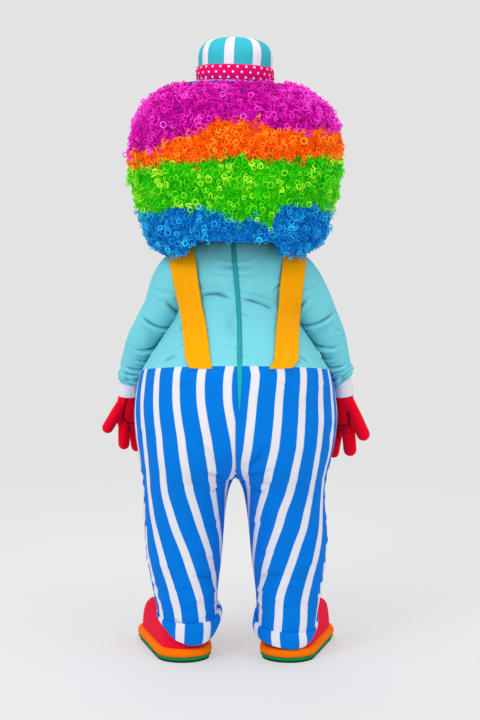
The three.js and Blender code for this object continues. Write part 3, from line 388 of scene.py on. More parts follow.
def trouser(side, face):
    def surface(u, v):
        place = np.clip(1 - v, 0, 1) * TROUSERS.last
        read = lambda name: TROUSERS.read(name, place)
        level = read("height")
        trim = HIP_TRIM_RIGHT
        slimmer = trim["most"] * np.exp(-(((level - trim["height"]) / trim["along"]) ** 2))
        out = read("out") - (slimmer if side == RIGHT else 0)
        turned = np.radians(np.clip(read("turned"), 90, 180))
        radius = (out - np.maximum(0, read("inner"))) / (1 - ring_point(turned, 1, 1)[0])
        angle = u * turned
        x, y = ring_point(angle, radius, read("back" if face > 0 else "front"))
        hem = np.clip((HEM_BEND_FROM - level) / (HEM_BEND_FROM - HEM_HEIGHT), 0, 1) ** 2
        waist = np.maximum(0, 1 - place / 3) ** 2 * waist_lift(face * angle)
        spread = LEG_SPREAD_RIGHT * np.clip(1 - level / 600, 0, 1) if side == RIGHT else 0
        height = level + waist + hem * hem_at(side, face, u, "above") + read("seat") * u * u
        return in_frame(side * (out - radius + x + spread), face * y + read("behind"), height)
    return surface


def shoe_outline(side, u, inset):
    angle = u * TURN
    c, s = np.cos(angle), np.sin(angle)
    reach = lambda end: end["out"] * c + end["behind"] * s + end["radius"]
    share = smooth((reach(TOE) - reach(HEEL) + SHOE_EASE) / (2 * SHOE_EASE))
    blend = lambda key: HEEL[key] + (TOE[key] - HEEL[key]) * share
    radius = blend("radius") - inset
    return side * (blend("out") + radius * c), blend("behind") + radius * s


def shoe_ring(side, rows):
    table = Table("height inset", rows)

    def surface(u, v):
        place = v * table.last
        x, y = shoe_outline(side, u, table.read("inset", place))
        return in_frame(x, y, table.read("height", place))
    return surface


def shoe_upper(name):
    side = SIDES[name]

    def surface(u, v):
        foot_x, foot_y = shoe_outline(side, u, UPPER_INSET)
        angle = u * TURN
        ankle_x = side * (ANKLE[name] + ANKLE["wide"] * np.cos(angle))
        ankle_y = ANKLE["behind"] + ANKLE["deep"] * np.sin(angle)
        lean = np.clip(v, 0, 1) * math.pi / 2
        toeward = smooth((-foot_y - TOE_FROM) / (-TOE["behind"] - TOE_FROM))
        roundness = UPPER_ROUND["heel"] + (UPPER_ROUND["toe"] - UPPER_ROUND["heel"]) * toeward
        inward = (1 - np.cos(lean)) ** roundness
        rise = np.sin(lean) ** 0.92
        bulge = TOE_BULGE * toeward * np.sin(math.pi * np.clip(v / TOE_ENDS, 0, 1))
        height = BAND_TOP + (ANKLE["height"] - BAND_TOP) * rise + bulge
        return in_frame(foot_x + (ankle_x - foot_x) * inward, foot_y + (ankle_y - foot_y) * inward, height)
    return surface


def level_surface(table, squareness):
    def surface(u, v):
        place = np.clip(v, 0, 1) * table.last
        x, y = ring_point(u * TURN, table.read("wide", place), table.read("deep", place), squareness)
        return in_frame(x, y, table.read("height", place))
    return surface


def seated_hat(points):
    """Moves points from the hat's own frame, with the brim's underside at height 0, to its seat."""
    x, y, z = points[..., 0], points[..., 1], points[..., 2] - FLOOR
    c, s = math.cos(HAT_TILT), math.sin(HAT_TILT)
    moved = np.stack([x * c + z * s, y, z * c - x * s], -1)
    return moved + (HAT_SHIFT * MM, 0, (HAT_SEAT - HAT_SINK) * MM + FLOOR)


# ---------- Relief of cloth

def creased(rows, across, height):
    """The height of all creases of a table at each place, in millimetres."""
    total = np.zeros(np.broadcast(across, height).shape)
    for a0, h0, a1, h1, bow, width, depth in rows:
        run, rise = a1 - a0, h1 - h0
        length = math.hypot(run, rise)
        along = ((across - a0) * run + (height - h0) * rise) / length ** 2
        off = ((height - h0) * run - (across - a0) * rise) / length - bow * 4 * along * (1 - along)
        q = off / width
        ends = smooth(np.minimum(along, 1 - along) / 0.32)
        total += depth * ends * (np.exp(-q * q) - 0.95 * np.exp(-(((q + 1.15) / 0.62) ** 2)))
    return total


def uneven(across, height, size, seed):
    """A soft unevenness between about -1 and 1, made of six waves of about one size."""
    dice = np.random.default_rng(seed)
    total = 0
    for _ in range(6):
        bearing, phase = dice.uniform(0, TURN, 2)
        wave = size * dice.uniform(0.6, 1.7)
        along = across * math.cos(bearing) + height * math.sin(bearing)
        total = total + np.sin(along * TURN / wave + phase)
    return total / 3.5


# ---------- Meshes

class Patch:
    """Points, outward normals and cloth coordinates of a surface on a grid."""

    def __init__(self, surface, u=(0, 1), v=(0, 1), columns=40, rows=40, side=1, closed=False, move=None):
        across = np.linspace(*u, columns + 1)[:columns if closed else None]
        self.u, self.v = np.meshgrid(across, np.linspace(*v, rows + 1))
        self.closed = closed
        self.points = surface(self.u, self.v)
        self.normals = facing(surface, self.u, self.v) * side
        self.relief = np.zeros(self.u.shape)
        if move:
            tips = move(self.points + self.normals)
            self.points = move(self.points)
            self.normals = tips - self.points
        self.measure()

    def measure(self):
        self.across, self.along = run_along(self.points, 1), run_along(self.points, 0)

    @property
    def height(self):
        return height_of(self.points)

    def raised(self, relief, folds=0):
        """Moves the points out by relief and folds, and remembers the folds for the shade painted into the
        cloth's creases.
        """
        self.relief = self.relief + folds
        self.points = self.points + self.normals * (np.asarray(relief + folds) * MM)[..., None]

    def flat_size(self):
        """The most across, the most along, and the mean width times the mean length, in metres."""
        seam = self.points[:, 0] - self.points[:, -1] if self.closed else 0
        width = self.across[:, -1] + (np.linalg.norm(seam, axis=-1) if self.closed else 0)
        length = self.along[-1]
        return float(width.max()), float(length.max()), float(width.mean() * length.mean())


def quads_of(rows, columns, closed):
    index = np.arange(rows * columns).reshape(rows, columns)
    if closed:
        index = np.concatenate([index, index[:, :1]], 1)
    return np.stack([index[:-1, :-1], index[:-1, 1:], index[1:, 1:], index[1:, :-1]], -1)


def outward(points, normals, faces):
    a, b, c = (points[faces[:, k]] for k in range(3))
    facing = np.einsum("ij,ij->i", np.cross(b - a, c - b), normals[faces[:, 0]]).sum()
    return faces if facing > 0 else faces[:, ::-1]


def skin_of(patch):
    """Vertices and faces of a closed patch as it is, without a wall."""
    points = patch.points.reshape(-1, 3)
    faces = quads_of(*patch.points.shape[:2], True).reshape(-1, 4)
    return points, outward(points, patch.normals.reshape(-1, 3), faces)


def walled(patch, wall, keep=None):
    """Vertices and faces of a thin wall whose outer face is the patch, with a rim on every free edge."""
    points, normals = patch.points.reshape(-1, 3), patch.normals.reshape(-1, 3)
    quads = quads_of(*patch.points.shape[:2], patch.closed)
    outer = outward(points, normals, (quads if keep is None else quads[keep]).reshape(-1, 4))
    count = len(points)
    edges = np.concatenate([outer[:, [k, (k + 1) % 4]] for k in range(4)])
    forward, back = edges[:, 0] * count + edges[:, 1], edges[:, 1] * count + edges[:, 0]
    free = edges[~np.isin(back, forward)]
    rim = np.stack([free[:, 1], free[:, 0], free[:, 0] + count, free[:, 1] + count], 1)
    faces = np.concatenate([outer, outer[:, ::-1] + count, rim])
    return np.concatenate([points, points - normals * wall * MM]), faces


def lay_cloth(mesh, on_cloth):
    """Gives every vertex its place on the cloth and the relief there, in metres."""
    layer = mesh.attributes.new("cloth", "FLOAT_VECTOR", "POINT")
    layer.data.foreach_set("vector", np.ascontiguousarray(on_cloth, np.float32).ravel())


def mesh_of(name, points, faces, on_cloth=None, sharp=50):
    mesh = bpy.data.meshes.new(name)
    faces = np.ascontiguousarray(faces, np.int32)
    mesh.vertices.add(len(points))
    mesh.vertices.foreach_set("co", np.ascontiguousarray(points, np.float32).ravel())
    mesh.loops.add(faces.size)
    mesh.loops.foreach_set("vertex_index", faces.ravel())
    mesh.polygons.add(len(faces))
    mesh.polygons.foreach_set("loop_start", np.arange(len(faces), dtype=np.int32) * faces.shape[1])
    mesh.update(calc_edges=True)
    if on_cloth is not None:
        lay_cloth(mesh, on_cloth)
    mesh.shade_smooth()
    if sharp:
        mesh.set_sharp_from_angle(angle=math.radians(sharp))
    return mesh


def placed(name, data):
    """A new object in the scene."""
    made = bpy.data.objects.new(name, data)
    bpy.context.scene.collection.objects.link(made)
    return made


def add_piece(name, mesh, slot, replaces=()):
    piece = placed(name, mesh)
    mesh.materials.append(material_for(slot))
    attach(piece, "root")
    if replaces:
        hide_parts(*replaces)
    return piece


def without_loose(mesh):
    shape = bmesh.new()
    shape.from_mesh(mesh)
    bmesh.ops.delete(shape, geom=[v for v in shape.verts if not v.link_faces], context="VERTS")
    shape.to_mesh(mesh)
    shape.free()


def add_cloth(node, patch, slot, pattern=None, wall=CLOTH_WALL, keep=None, held=None):
    """A thin shell of cloth in place of one solid.

    pattern is two cloth coordinates in millimetres, by default along the grid; the third is the relief.
    """
    first, second = pattern or (patch.across / MM, patch.along / MM)
    on_cloth = np.stack(np.broadcast_arrays(first, second, patch.relief), -1).reshape(-1, 3) * MM
    points, faces = walled(patch, wall, keep)
    mesh = mesh_of(f"{node}_cloth", points, faces, np.concatenate([on_cloth, on_cloth]))
    without_loose(mesh)
    piece = add_piece(f"{node}_cloth", mesh, slot, [node])
    if held:
        width, length, area = patch.flat_size()
    return piece


# ---------- Materials

def paint(name):
    """One of the user's cloth colours, as a node takes it."""
    return (*getattr(bpy.context.scene.costume_cloth, name), 1.0)


class Wire:
    """A shader socket's output that takes part in sums: each operation adds one Math node."""

    def __init__(self, shader, socket):
        self.shader, self.socket = shader, socket

    def maths(self, operation, *others):
        return self.shader.node("Math", inputs=dict(enumerate((self, *others))), operation=operation)

    def __add__(self, other):
        return self.maths("ADD", other)

    def __sub__(self, other):
        return self.maths("SUBTRACT", other)

    def __rsub__(self, other):
        return self * -1 + other

    def __mul__(self, other):
        return self.maths("MULTIPLY", other)

    def __truediv__(self, other):
        return self.maths("DIVIDE", other)

    def __mod__(self, other):
        return self.maths("FLOORED_MODULO", other)

    def __abs__(self):
        return self.maths("ABSOLUTE")

    __radd__, __rmul__ = __add__, __mul__

    def sine(self):
        return self.maths("SINE")

    def step(self, low, high):
        """0 below low and 1 above high, smooth between them."""
        return self.shader.node("MapRange", inputs={0: self, 1: low, 2: high, 3: 0.0, 4: 1.0},
                                interpolation_type="SMOOTHSTEP")


class Shader:
    """Adds nodes to a new material and hands back their outputs as wires."""

    def __init__(self, name):
        self.material = bpy.data.materials.new(name)
        self.material.use_nodes = True
        self.tree = self.material.node_tree
        self.tree.nodes.clear()
        self.surface = self.tree.nodes.new("ShaderNodeBsdfPrincipled")
        output = self.tree.nodes.new("ShaderNodeOutputMaterial")
        self.tree.links.new(self.surface.outputs[0], output.inputs["Surface"])

    def feed(self, socket, value):
        if isinstance(value, Wire):
            self.tree.links.new(value.socket, socket)
        elif socket.type == "VECTOR":
            socket.default_value = tuple(value)[:3]
        else:
            socket.default_value = value

    def node(self, kind, output=0, inputs=None, **settings):
        node = self.tree.nodes.new("ShaderNode" + kind)
        for key, value in settings.items():
            setattr(node, key, value)
        for key, value in (inputs or {}).items():
            self.feed(node.inputs[key], value)
        return Wire(self, node.outputs[output])

    def mix(self, share, first, second):
        return self.node("Mix", 2, {0: share, 6: first, 7: second}, data_type="RGBA")

    def shade(self, colour, amount):
        """A colour times an amount, such as a slight unevenness of the dye, or painted shade and highlight.
        """
        return self.node("VectorMath", inputs={0: colour, 3: amount}, operation="SCALE")

    def parts(self, vector):
        split = self.node("SeparateXYZ", inputs={0: vector})
        return [Wire(self, socket) for socket in split.socket.node.outputs]

    def noise(self, place, scale, detail=2.0):
        return self.node("TexNoise", inputs={"Vector": place, "Scale": scale, "Detail": detail})

    def finish(self, **inputs):
        for key, value in inputs.items():
            self.feed(self.surface.inputs[key.replace("_", " ")], value)
        return self.material


def fabric(name, colour, weave=1.1, depth=0.22, rough=0.9, sheen=0.02, fuzz=0.0, dye=0.06, crease_shade_share=0.42):
    """Woven cloth. colour is a linear colour or a function of the shader and the two cloth coordinates."""
    shader = Shader(name)
    place = shader.node("Attribute", 1, attribute_name="cloth")
    x, y, relief = shader.parts(place)
    base = colour(shader, x, y) if callable(colour) else colour
    broad, fine = shader.noise(place, 9.0), shader.noise(place, 420.0)
    # Painted shade: the colour is darkened in the hollows of the creases, where the relief in the third cloth
    # coordinate dips, by up to the given share.
    painted_crease_shade = relief.step(-6 * MM, -0.5 * MM) * crease_shade_share + (1.0 - crease_shade_share)
    tone = (broad * dye + fine * (dye * 0.8 + fuzz) + (1.0 - dye * 0.9 - fuzz * 0.5)) * painted_crease_shade
    threads = (x * (TURN / (weave * MM))).sine() * (y * (TURN / (weave * MM))).sine()
    weft = threads * (1.0 - fuzz) + shader.noise(place, 700.0, 3.0) * (0.7 + 4 * fuzz)
    normal = shader.node("Bump", inputs={"Strength": depth, "Distance": 0.0006, "Height": weft})
    return shader.finish(Base_Color=shader.shade(base, tone), Roughness=fine * 0.12 + (rough - 0.06),
                         Normal=normal, Sheen_Weight=sheen, Sheen_Roughness=0.5, Specular_IOR_Level=0.06)


def striped(shader, x, y):
    middle = abs((x / (STRIPE_PERIOD * MM) + 0.5) % 1.0 - 0.5)
    edge = bpy.context.scene.costume_cloth.stripe_width / (STRIPE_PERIOD * MM) / 2
    return shader.mix(middle.step(edge - 0.006, edge + 0.006), paint("white_stripes"), paint("blue_stripes"))


def gored(shader, x, y):
    """Eight white gores round the hat; x is a thousandth of the bearing in degrees."""
    middle = abs((x / (GORE_TURN * MM) + 0.5) % 1.0 - 0.5)
    edge = WHITE_GORE / GORE_TURN / 2
    seam = abs(middle - edge).step(0.004, 0.02)
    teal = shader.mix(seam, rgb("1a93a6"), rgb("3ab8c7"))
    return shader.mix(middle.step(edge - 0.006, edge + 0.006), rgb("e8e6f0"), teal)


def dotted(shader, x, y):
    """White dots in staggered rows."""
    across, up = DOT_ACROSS * MM, DOT_UP * MM
    row = (y / up).maths("FLOOR")
    dx = ((x / across + row * 0.5) % 1.0 - 0.5) * across
    dy = ((y / up) % 1.0 - 0.5) * up
    reach = (dx * dx + dy * dy).maths("SQRT")
    edge = reach.step((DOT_RADIUS - 0.4) * MM, (DOT_RADIUS + 0.4) * MM)
    return shader.mix(edge, rgb("f4eef2"), rgb("e6056a"))


def eyed(shader, x, y):
    reach = (x * x + y * y).maths("SQRT")
    pupil = reach.step((PUPIL_RADIUS - 0.4) * MM, (PUPIL_RADIUS + 0.4) * MM)
    return shader.mix(pupil, rgb("16171a"), rgb("f2f2f4"))


def curl_colours(band):
    """The colour of a band of curls, with painted shade in a deep tone between the curls and a painted
    highlight on its tips in the light.
    """
    light = (*getattr(bpy.context.scene.costume_wig, band), 1.0)
    return CURL_SHADE_COLOURS[band], light, CURL_HIGHLIGHT_COLOURS[band]


def curled(name, band):
    """Synthetic ringlets: u of the curl map is the painted light along a lock, from painted shade deep among
    the locks to painted highlight on the tips; v varies from lock to lock.
    """
    shader = Shader(name)
    deep, light, tip = curl_colours(band)
    curl_map = shader.node("UVMap", uv_map="OFBake")
    along, lock, _ = shader.parts(curl_map)
    # Painted light: the colour darkens to painted shade deep among the locks and low on them, and lightens to
    # a painted highlight on the tips that stand out; v adds each lock's own tone.
    base = shader.mix((along * 0.6 + lock * 0.4).step(0.16, 0.62), deep, light)
    with_highlights = shader.mix((along * 0.55 + lock * 0.45).step(0.56, 0.98), base, tip)
    colour = shader.shade(with_highlights, along * 0.3 + 0.8)
    # Painted glow: the curls give off light in their own colour, standing in for light through the fine hair
    # and lifting the shade between the locks.
    return shader.finish(Base_Color=colour, Roughness=0.5, Specular_IOR_Level=0.15, Emission_Color=colour,
                         Emission_Strength=bpy.context.scene.costume_wig.glow)


def curly_ground(name, band):
    """The mass of curls behind the ringlets, with painted rings of curls and painted shade, dark between
    them.
    """
    shader = Shader(name)
    deep, light, _ = curl_colours(band)
    place = shader.node("TexCoord", 3)
    cells = shader.node("TexVoronoi", inputs={"Vector": place, "Scale": 70.0}, feature="SMOOTH_F1")
    ring = abs(cells - 0.36).step(0.26, 0.02)
    grain = shader.noise(place, 240.0, 3.0)
    # Painted light: rings in the band's colour, as curls would catch the light, over painted shade in the
    # deep colour between them.
    base = shader.mix(ring * 0.6 + grain * 0.25, deep, light)
    normal = shader.node("Bump", inputs={"Strength": 0.9, "Distance": 0.004, "Height": ring + grain})
    # The mass has the same painted glow as the curls.
    return shader.finish(Base_Color=base, Roughness=0.7, Specular_IOR_Level=0.1, Normal=normal,
                         Emission_Color=base, Emission_Strength=bpy.context.scene.costume_wig.glow)


def taped(shader, x, y):
    """The zip: a dark tape with the coil along its middle, paler in the seat."""
    coil = abs(x).step(1.2 * MM, 2.4 * MM)
    tape = shader.mix(y.step(-6 * MM, 10 * MM), rgb("1bb4b8"), rgb("2a98a6"))
    return shader.mix(coil, rgb("36a6b4"), tape)


def webbing(shader, x, y):
    """Plain webbing with shade painted slightly deeper along its edges; x runs from -0.001 to 0.001 across
    it.
    """
    return shader.mix(abs(x).step(0.93 * MM, 0.97 * MM), paint("straps"), shader.shade(paint("straps"), 0.86))


def coated(name, colour, rough=0.5, grain=260.0, depth=0.2, coat=0.0):
    shader = Shader(name)
    place = shader.node("TexCoord", 3)
    broad, fine = shader.noise(place, 12.0), shader.noise(place, grain, 3.0)
    normal = shader.node("Bump", inputs={"Strength": depth, "Distance": 0.0006, "Height": fine})
    return shader.finish(Base_Color=shader.shade(colour, broad * 0.08 + fine * 0.06 + 0.93),
                         Roughness=fine * 0.15 + (rough - 0.07), Normal=normal, Coat_Weight=coat)


# Painted shade deep among the locks, and painted highlights on the tips of the locks that stand out.
CURL_SHADE_COLOURS = {"purple": rgb("6a005c"), "orange": rgb("d83800"), "green": rgb("06a200"), "blue": rgb("0044b4")}
CURL_HIGHLIGHT_COLOURS = {"purple": rgb("ff5cea"), "orange": rgb("ffb42c"), "green": rgb("ccff3c"), "blue": rgb("34d4f6")}
# Each cloth's share of shade painted into its creases differs: most on the gloves, least on the stripes.
FINISHES = {
    "teal_cloth": lambda n: fabric(n, paint("teal"), crease_shade_share=0.5),
    "zip_tape": lambda n: fabric(n, taped, weave=0.8),
    "strap_cloth": lambda n: fabric(n, webbing, weave=1.6, rough=0.8, depth=0.3),
    "white_cloth": lambda n: fabric(n, paint("white_cuffs")),
    "striped_cloth": lambda n: fabric(n, striped, weave=0.9, crease_shade_share=0.26),
    "glove_cloth": lambda n: fabric(n, paint("gloves"), fuzz=0.08, sheen=0.05, weave=0.9, crease_shade_share=0.62),
    "shoe_red": lambda n: fabric(n, paint("shoes"), fuzz=0.06, sheen=0.03),
    "shoe_orange": lambda n: fabric(n, rgb("ff7600"), fuzz=0.05, sheen=0.02),
    "shoe_green": lambda n: fabric(n, rgb("0a9a50"), weave=1.8, depth=0.5),
    "shoe_sole": lambda n: coated(n, rgb("101113"), rough=0.7),
    "head_skin": lambda n: fabric(n, rgb("f1c8a6"), fuzz=0.08, sheen=0.1),
    "face_white": lambda n: fabric(n, eyed, fuzz=0.02),
    "face_red": lambda n: fabric(n, rgb("dc1030"), fuzz=0.06, sheen=0.06),
    "hat_cloth": lambda n: fabric(n, gored, weave=1.0),
    "dotted_cloth": lambda n: fabric(n, dotted, weave=0.9),
}
made_materials = {}


def material_for(slot):
    """The slot's material, made when a piece first needs it."""
    if slot not in made_materials:
        kind, _, band = slot.partition("_")
        made_materials[slot] = curled(slot, band) if kind == "curls" else FINISHES[slot](slot)
    return made_materials[slot]


# ---------- Bodice, sleeves, cuffs

def inside_arm(points, side, margin):
    """Which points lie within an arm, drawn in by a margin."""
    places = np.linspace(0, WRIST_ROW, 60)
    centres = arm_line(side, places)
    reach = np.minimum(ARM.read("wide", places), ARM.read("thick", places)) - margin
    gaps = np.linalg.norm(points[..., None, :] - centres, axis=-1) / MM
    return (gaps < reach).any(-1)


def inside_bodice(points, margin):
    height = height_of(points)
    lowest, highest = BODICE.rows[0, 0], BODICE.rows[-1, 0]
    wide = BODICE.at_height("wide", height) - margin
    deep = BODICE.at_height("deep", height) - margin
    x, y = points[..., 0] / MM, points[..., 1] / MM - BODICE.at_height("behind", height)
    within = np.abs(x / wide) ** BODY_SQUARENESS + np.abs(y / deep) ** BODY_SQUARENESS < 1
    return within & (height > lowest) & (height < highest)


def face_middles(patch):
    p = np.concatenate([patch.points, patch.points[:, :1]], 1) if patch.closed else patch.points
    return (p[:-1, :-1] + p[1:, :-1] + p[:-1, 1:] + p[1:, 1:]) / 4


def build_bodice(crease):
    panels = {
        "bodice_back_left": ((0, 0.25), 56, BODICE_BACK_CREASES),
        "bodice_back_right": ((0.25, 0.5), 56, BODICE_BACK_CREASES),
        "bodice_front": ((0.5, 1), 76, BODICE_FRONT_CREASES),
    }
    for name, (u, columns, creases) in panels.items():
        patch = Patch(bodice, u, columns=columns, rows=140)
        x, height = patch.points[..., 0] / MM, patch.height
        folds = creased(creases, x, height) + 0.7 * uneven(x, height, 150, 3) + 0.3 * uneven(x, height, 45, 4)
        patch.raised(0, folds * crease * smooth(patch.v / 0.06))
        middles = face_middles(patch)
        keep = ~(inside_arm(middles, LEFT, 6) | inside_arm(middles, RIGHT, 6))
        add_cloth(name, patch, "teal_cloth", keep=keep, held="stretched")


def tilted_arm(side):
    """The arm with its cuff set a little lower, cut slightly aslant and pointed at the back."""
    surface = arm(side)

    def slanted(u, v):
        place = v * ARM.last
        share = smooth((place - WRIST_ROW + 1) / 0.8)
        slant = np.interp(place, (WRIST_ROW, CUFF_END_ROW), CUFF_SLANTS[NAMES[side]])
        behind = np.exp(-(((u % 1 - 0.25) / 0.13) ** 2))
        point = CUFF_POINTS[NAMES[side]] * smooth((place - WRIST_ROW) / 0.9) * behind
        drop = CUFF_DROP * smooth((CUFF_END_ROW - place) / 0.8)
        return surface(u, v + share * (drop + point - slant * side * np.cos(u * TURN)) / ARM.last)
    return slanted


def build_sleeves(crease):
    for name, side in SIDES.items():
        end = WRIST_ROW / ARM.last
        patch = Patch(tilted_arm(side), (0, 1), (0.5 / ARM.last, end), 76, 130, closed=True)
        degrees = patch.u * 360
        outer_first = degrees if side == LEFT else (180 - degrees) % 360
        place = patch.v * ARM.last * 100
        folds = creased(SLEEVE_CREASES, outer_first, place + (0 if side == LEFT else 9))
        folds += creased(SLEEVE_CREASES, outer_first + 360, place)
        folds += 1.0 * uneven(degrees, place, 120, 11 + side)
        gather = smooth((place - 500) / 80)
        folds += gather * 3.6 * uneven(degrees * 0.4, place, 34, 21 + side)
        ends = smooth((600 - place) / 14)
        puff = 5 * np.exp(-(((place - 565) / 26) ** 2))
        patch.raised(puff, folds * crease * (0.3 + 0.7 * ends))
        keep = ~inside_bodice(face_middles(patch), 8)
        add_cloth(f"sleeve_{name}", patch, "teal_cloth", keep=keep, held="stretched")
        cuff = Patch(tilted_arm(side), (0, 1), (end, CUFF_END_ROW / ARM.last), 64, 18, closed=True)
        share = (cuff.v - end) * ARM.last
        puff = 2.2 * np.sin(math.pi * np.clip(share, 0, 1)) ** 0.6
        puff = puff + 0.8 * uneven(cuff.u * 360, share * 40, 60, 31)
        fold = -1.2 * np.exp(-((share - 0.16) / 0.05) ** 2)
        # The fold dips the cuff, and the cloth paints shade into it.
        cuff.raised(puff + 1.2 * share, fold)
        add_cloth(f"cuff_{name}", cuff, "white_cloth", wall=HEM_WALL, held="folded")


# ---------- Trousers and turn-ups

def leg_relief(side, face, around, height):
    """Relief of a leg's cloth, nearly the same on both panels where they meet at the outer seam."""
    signed = around * face
    shift = 0 if side == LEFT else 6
    relief = creased(TROUSER_CREASES, around, height - shift) * (1 if face > 0 else 0.8)
    relief += 1.6 * uneven(signed, height, 190, 41 + side) + 0.5 * uneven(signed, height, 60, 43 + side)
    low = smooth((420 - height) / 260)
    relief += low * 1.8 * uneven(signed * 0.55, height, 70, 45 + side)
    return relief


def build_trousers(crease):
    for name, side in SIDES.items():
        for place, face in (("back", 1), ("front", -1)):
            patch = Patch(trouser(side, face), columns=60, rows=136, side=side * face)
            around, height = patch.across / MM, patch.height
            inner = smooth((1 - patch.u) / 0.12) * smooth((1 - patch.v) / 0.03)
            outer = smooth(patch.u / 0.14) * 0.85 + 0.15
            seam = -1.4 * np.exp(-((patch.u / 0.006) ** 2)) - 1.6 * np.exp(-(((1 - patch.u) / 0.008) ** 2))
            patch.raised(seam, leg_relief(side, face, around, height) * crease * inner * outer)
            warp = 3.0 * smooth((560 - height) / 200) * uneven(around * 0.2, height, 130, 51 + side)
            pattern = (around - STRIPE_PLACE.at_height(name, height) + warp, patch.along / MM)
            node = f"trousers_{place}_{name}"
            add_cloth(node, patch, "striped_cloth", pattern=pattern, held="hung")


# The roll of a turn-up from its underside over the outside to its upper edge: share of its depth, and lift
ROLL = Table("up out", [
    (0.05, 1), (-0.05, 4.5), (0, 8), (0.3, 11), (0.65, 10.5), (0.9, 8), (1, 5), (0.96, 1.5)])
ROLL_DEPTH, ROLL_WALL = 46, 1.4
ROLL_STRIPES_AT = 125           # the turn-ups' stripes lie where the legs' stripes lie at this height


def build_turnups(crease):
    for name, side in SIDES.items():
        def on_leg(u, v):
            round_leg = u % 1
            behind = round_leg < 0.5
            around = np.where(behind, 2 * round_leg, 2 - 2 * round_leg)
            both = [trouser(side, face)(around, v) for face in (1, -1)]
            turned = [hem_at(side, face, around, "turned") for face in (1, -1)]
            return np.where(behind[..., None], *both), np.where(behind, *turned), around

        def surface(u, v):
            low, turned, _ = on_leg(u, np.zeros_like(u))
            following, _, _ = on_leg(u, np.full_like(u, 1 / TROUSERS.last))
            share = v * turned * MM / (following - low)[..., 2]
            return low + (following - low) * share[..., None]

        patch = Patch(surface, columns=140, rows=26, side=side, closed=True)
        base, place = patch.points, patch.v * ROLL.last
        _, turned, around = on_leg(patch.u, patch.v)
        bearing = patch.u * 360
        fullness = 0.45 + 0.55 * np.clip(turned / ROLL_DEPTH, 0, 1)
        inner_roll = 8 * np.exp(-(((bearing - 172) / 26) ** 2)) * np.sin(math.pi * patch.v)
        waves = 1.7 * uneven(bearing, patch.v * 40, 44, 61 + side)
        waves = waves + 0.8 * uneven(bearing, patch.v * 30, 20, 63 + side)
        lift = ROLL.read("out", place) * fullness + inner_roll + waves * crease * fullness
        patch.points = surface(patch.u, ROLL.read("up", place)) + patch.normals * (lift * MM)[..., None]
        arc = run_along(base, 1) / MM
        whole = 2 * arc[:, -1:] - arc[:, -2:-1]
        across = np.minimum(arc, whole - arc)
        at = np.full_like(across, ROLL_STRIPES_AT)
        pattern = (across - STRIPE_PLACE.at_height(name, at), patch.along / MM)
        patch.measure()
        add_cloth(f"turnup_{name}", patch, "striped_cloth", pattern=pattern, wall=ROLL_WALL, held="folded")


# ---------- Zip and straps

ZIP_ROWS, TRIM_COLUMNS = 170, 8
STRAP_STEP, STRAP_TURN_ROWS = 6, 56
SHOULDER_GUESS, SHOULDER_ROUNDS = 200, 5


def tree_of(nodes):
    """The finished cloth of some pieces, for trim to be laid on."""
    faces, points = [], []
    for node in nodes:
        mesh = bpy.data.objects[node + "_cloth"].data
        start = len(points)
        points += [v.co[:] for v in mesh.vertices]
        faces += [[start + k for k in face.vertices] for face in mesh.polygons]
    return BVHTree.FromPolygons(points, faces)


def grid_patch(points, normals):
    """A patch on points that are found one by one."""
    rows, columns = points.shape[:2]
    patch = Patch(lambda u, v: np.stack([u, v, u * v], -1), columns=columns - 1, rows=rows - 1)
    patch.points, patch.normals = points, normals
    patch.measure()
    return patch


def softened(values, passes):
    """Values with their small jogs taken out along the first axis."""
    soft = values.copy()
    for _ in range(passes):
        soft[1:-1] = (soft[:-2] + 2 * soft[1:-1] + soft[2:]) / 4
    return soft


def build_zip(width):
    """Lays the tape on the back by rays from behind, taut over hollows, and narrower in the seat."""
    tree = tree_of(BACKS + ["trousers_back_left", "trousers_back_right"])
    height = np.linspace(ZIP_END, ZIP_TOP, ZIP_ROWS + 1)
    bend = Table("height shift", ZIP_LINE)
    in_seat = np.clip((WAIST_MIDDLE - height) / (WAIST_MIDDLE - ZIP_END), 0, 1)
    half = (width + (ZIP_END_WIDTH - width) * in_seat ** 1.6) / 2
    across = np.linspace(-1, 1, TRIM_COLUMNS + 1)
    x = bend.at_height("shift", height)[:, None] + across * half[:, None]
    z = np.broadcast_to(height[:, None] * MM + FLOOR, x.shape)
    y = np.full(x.shape, np.nan)
    for at in np.ndindex(x.shape):
        hit = tree.ray_cast(Vector((x[at] * MM, 1, z[at])), Vector((0, -1, 0)))[0]
        y[at] = hit.y if hit else np.nan
    level = softened(hull_smoothed(np.nanmax(y, axis=1), 10), 2)
    slope = np.gradient(level, z[:, 0])
    normal = unit(np.stack([np.zeros_like(slope), np.ones_like(slope), -slope], -1))[:, None, :]
    crown = 2.8 - 1.4 * np.abs(across) ** 4 + 1.1 * np.exp(-((across / 0.2) ** 2))
    points = np.stack([x * MM, np.broadcast_to(level[:, None], x.shape), z], -1)
    points = points + normal * (crown * MM)[None, :, None]
    patch = grid_patch(points, np.broadcast_to(normal, points.shape))
    pattern = (x - x.mean(1, keepdims=True), height[:, None] - WAIST_MIDDLE)
    add_cloth("zip_tape", patch, "zip_tape", pattern=pattern, wall=ZIP_WALL, held="laid")


def strap_lines(name):
    """Rays towards the shoulders, one for each row of a strap: level up its back, round over, and down."""
    back, front = STRAPS[name, "back"], STRAPS[name, "front"]
    rise = np.arange(back.rows[0, 0], STRAP_CENTRE, STRAP_STEP)
    fall = np.arange(STRAP_CENTRE - STRAP_STEP, front.rows[0, 0] - STRAP_STEP, -STRAP_STEP)
    lines = [((0, level), (1, 0), back) for level in rise]
    for angle in np.linspace(0, math.pi, STRAP_TURN_ROWS):
        table = back if angle < math.pi / 2 else front
        lines.append(((0, STRAP_CENTRE), (math.cos(angle), math.sin(angle)), table))
    return lines + [((0, level), (-1, 0), front) for level in fall]


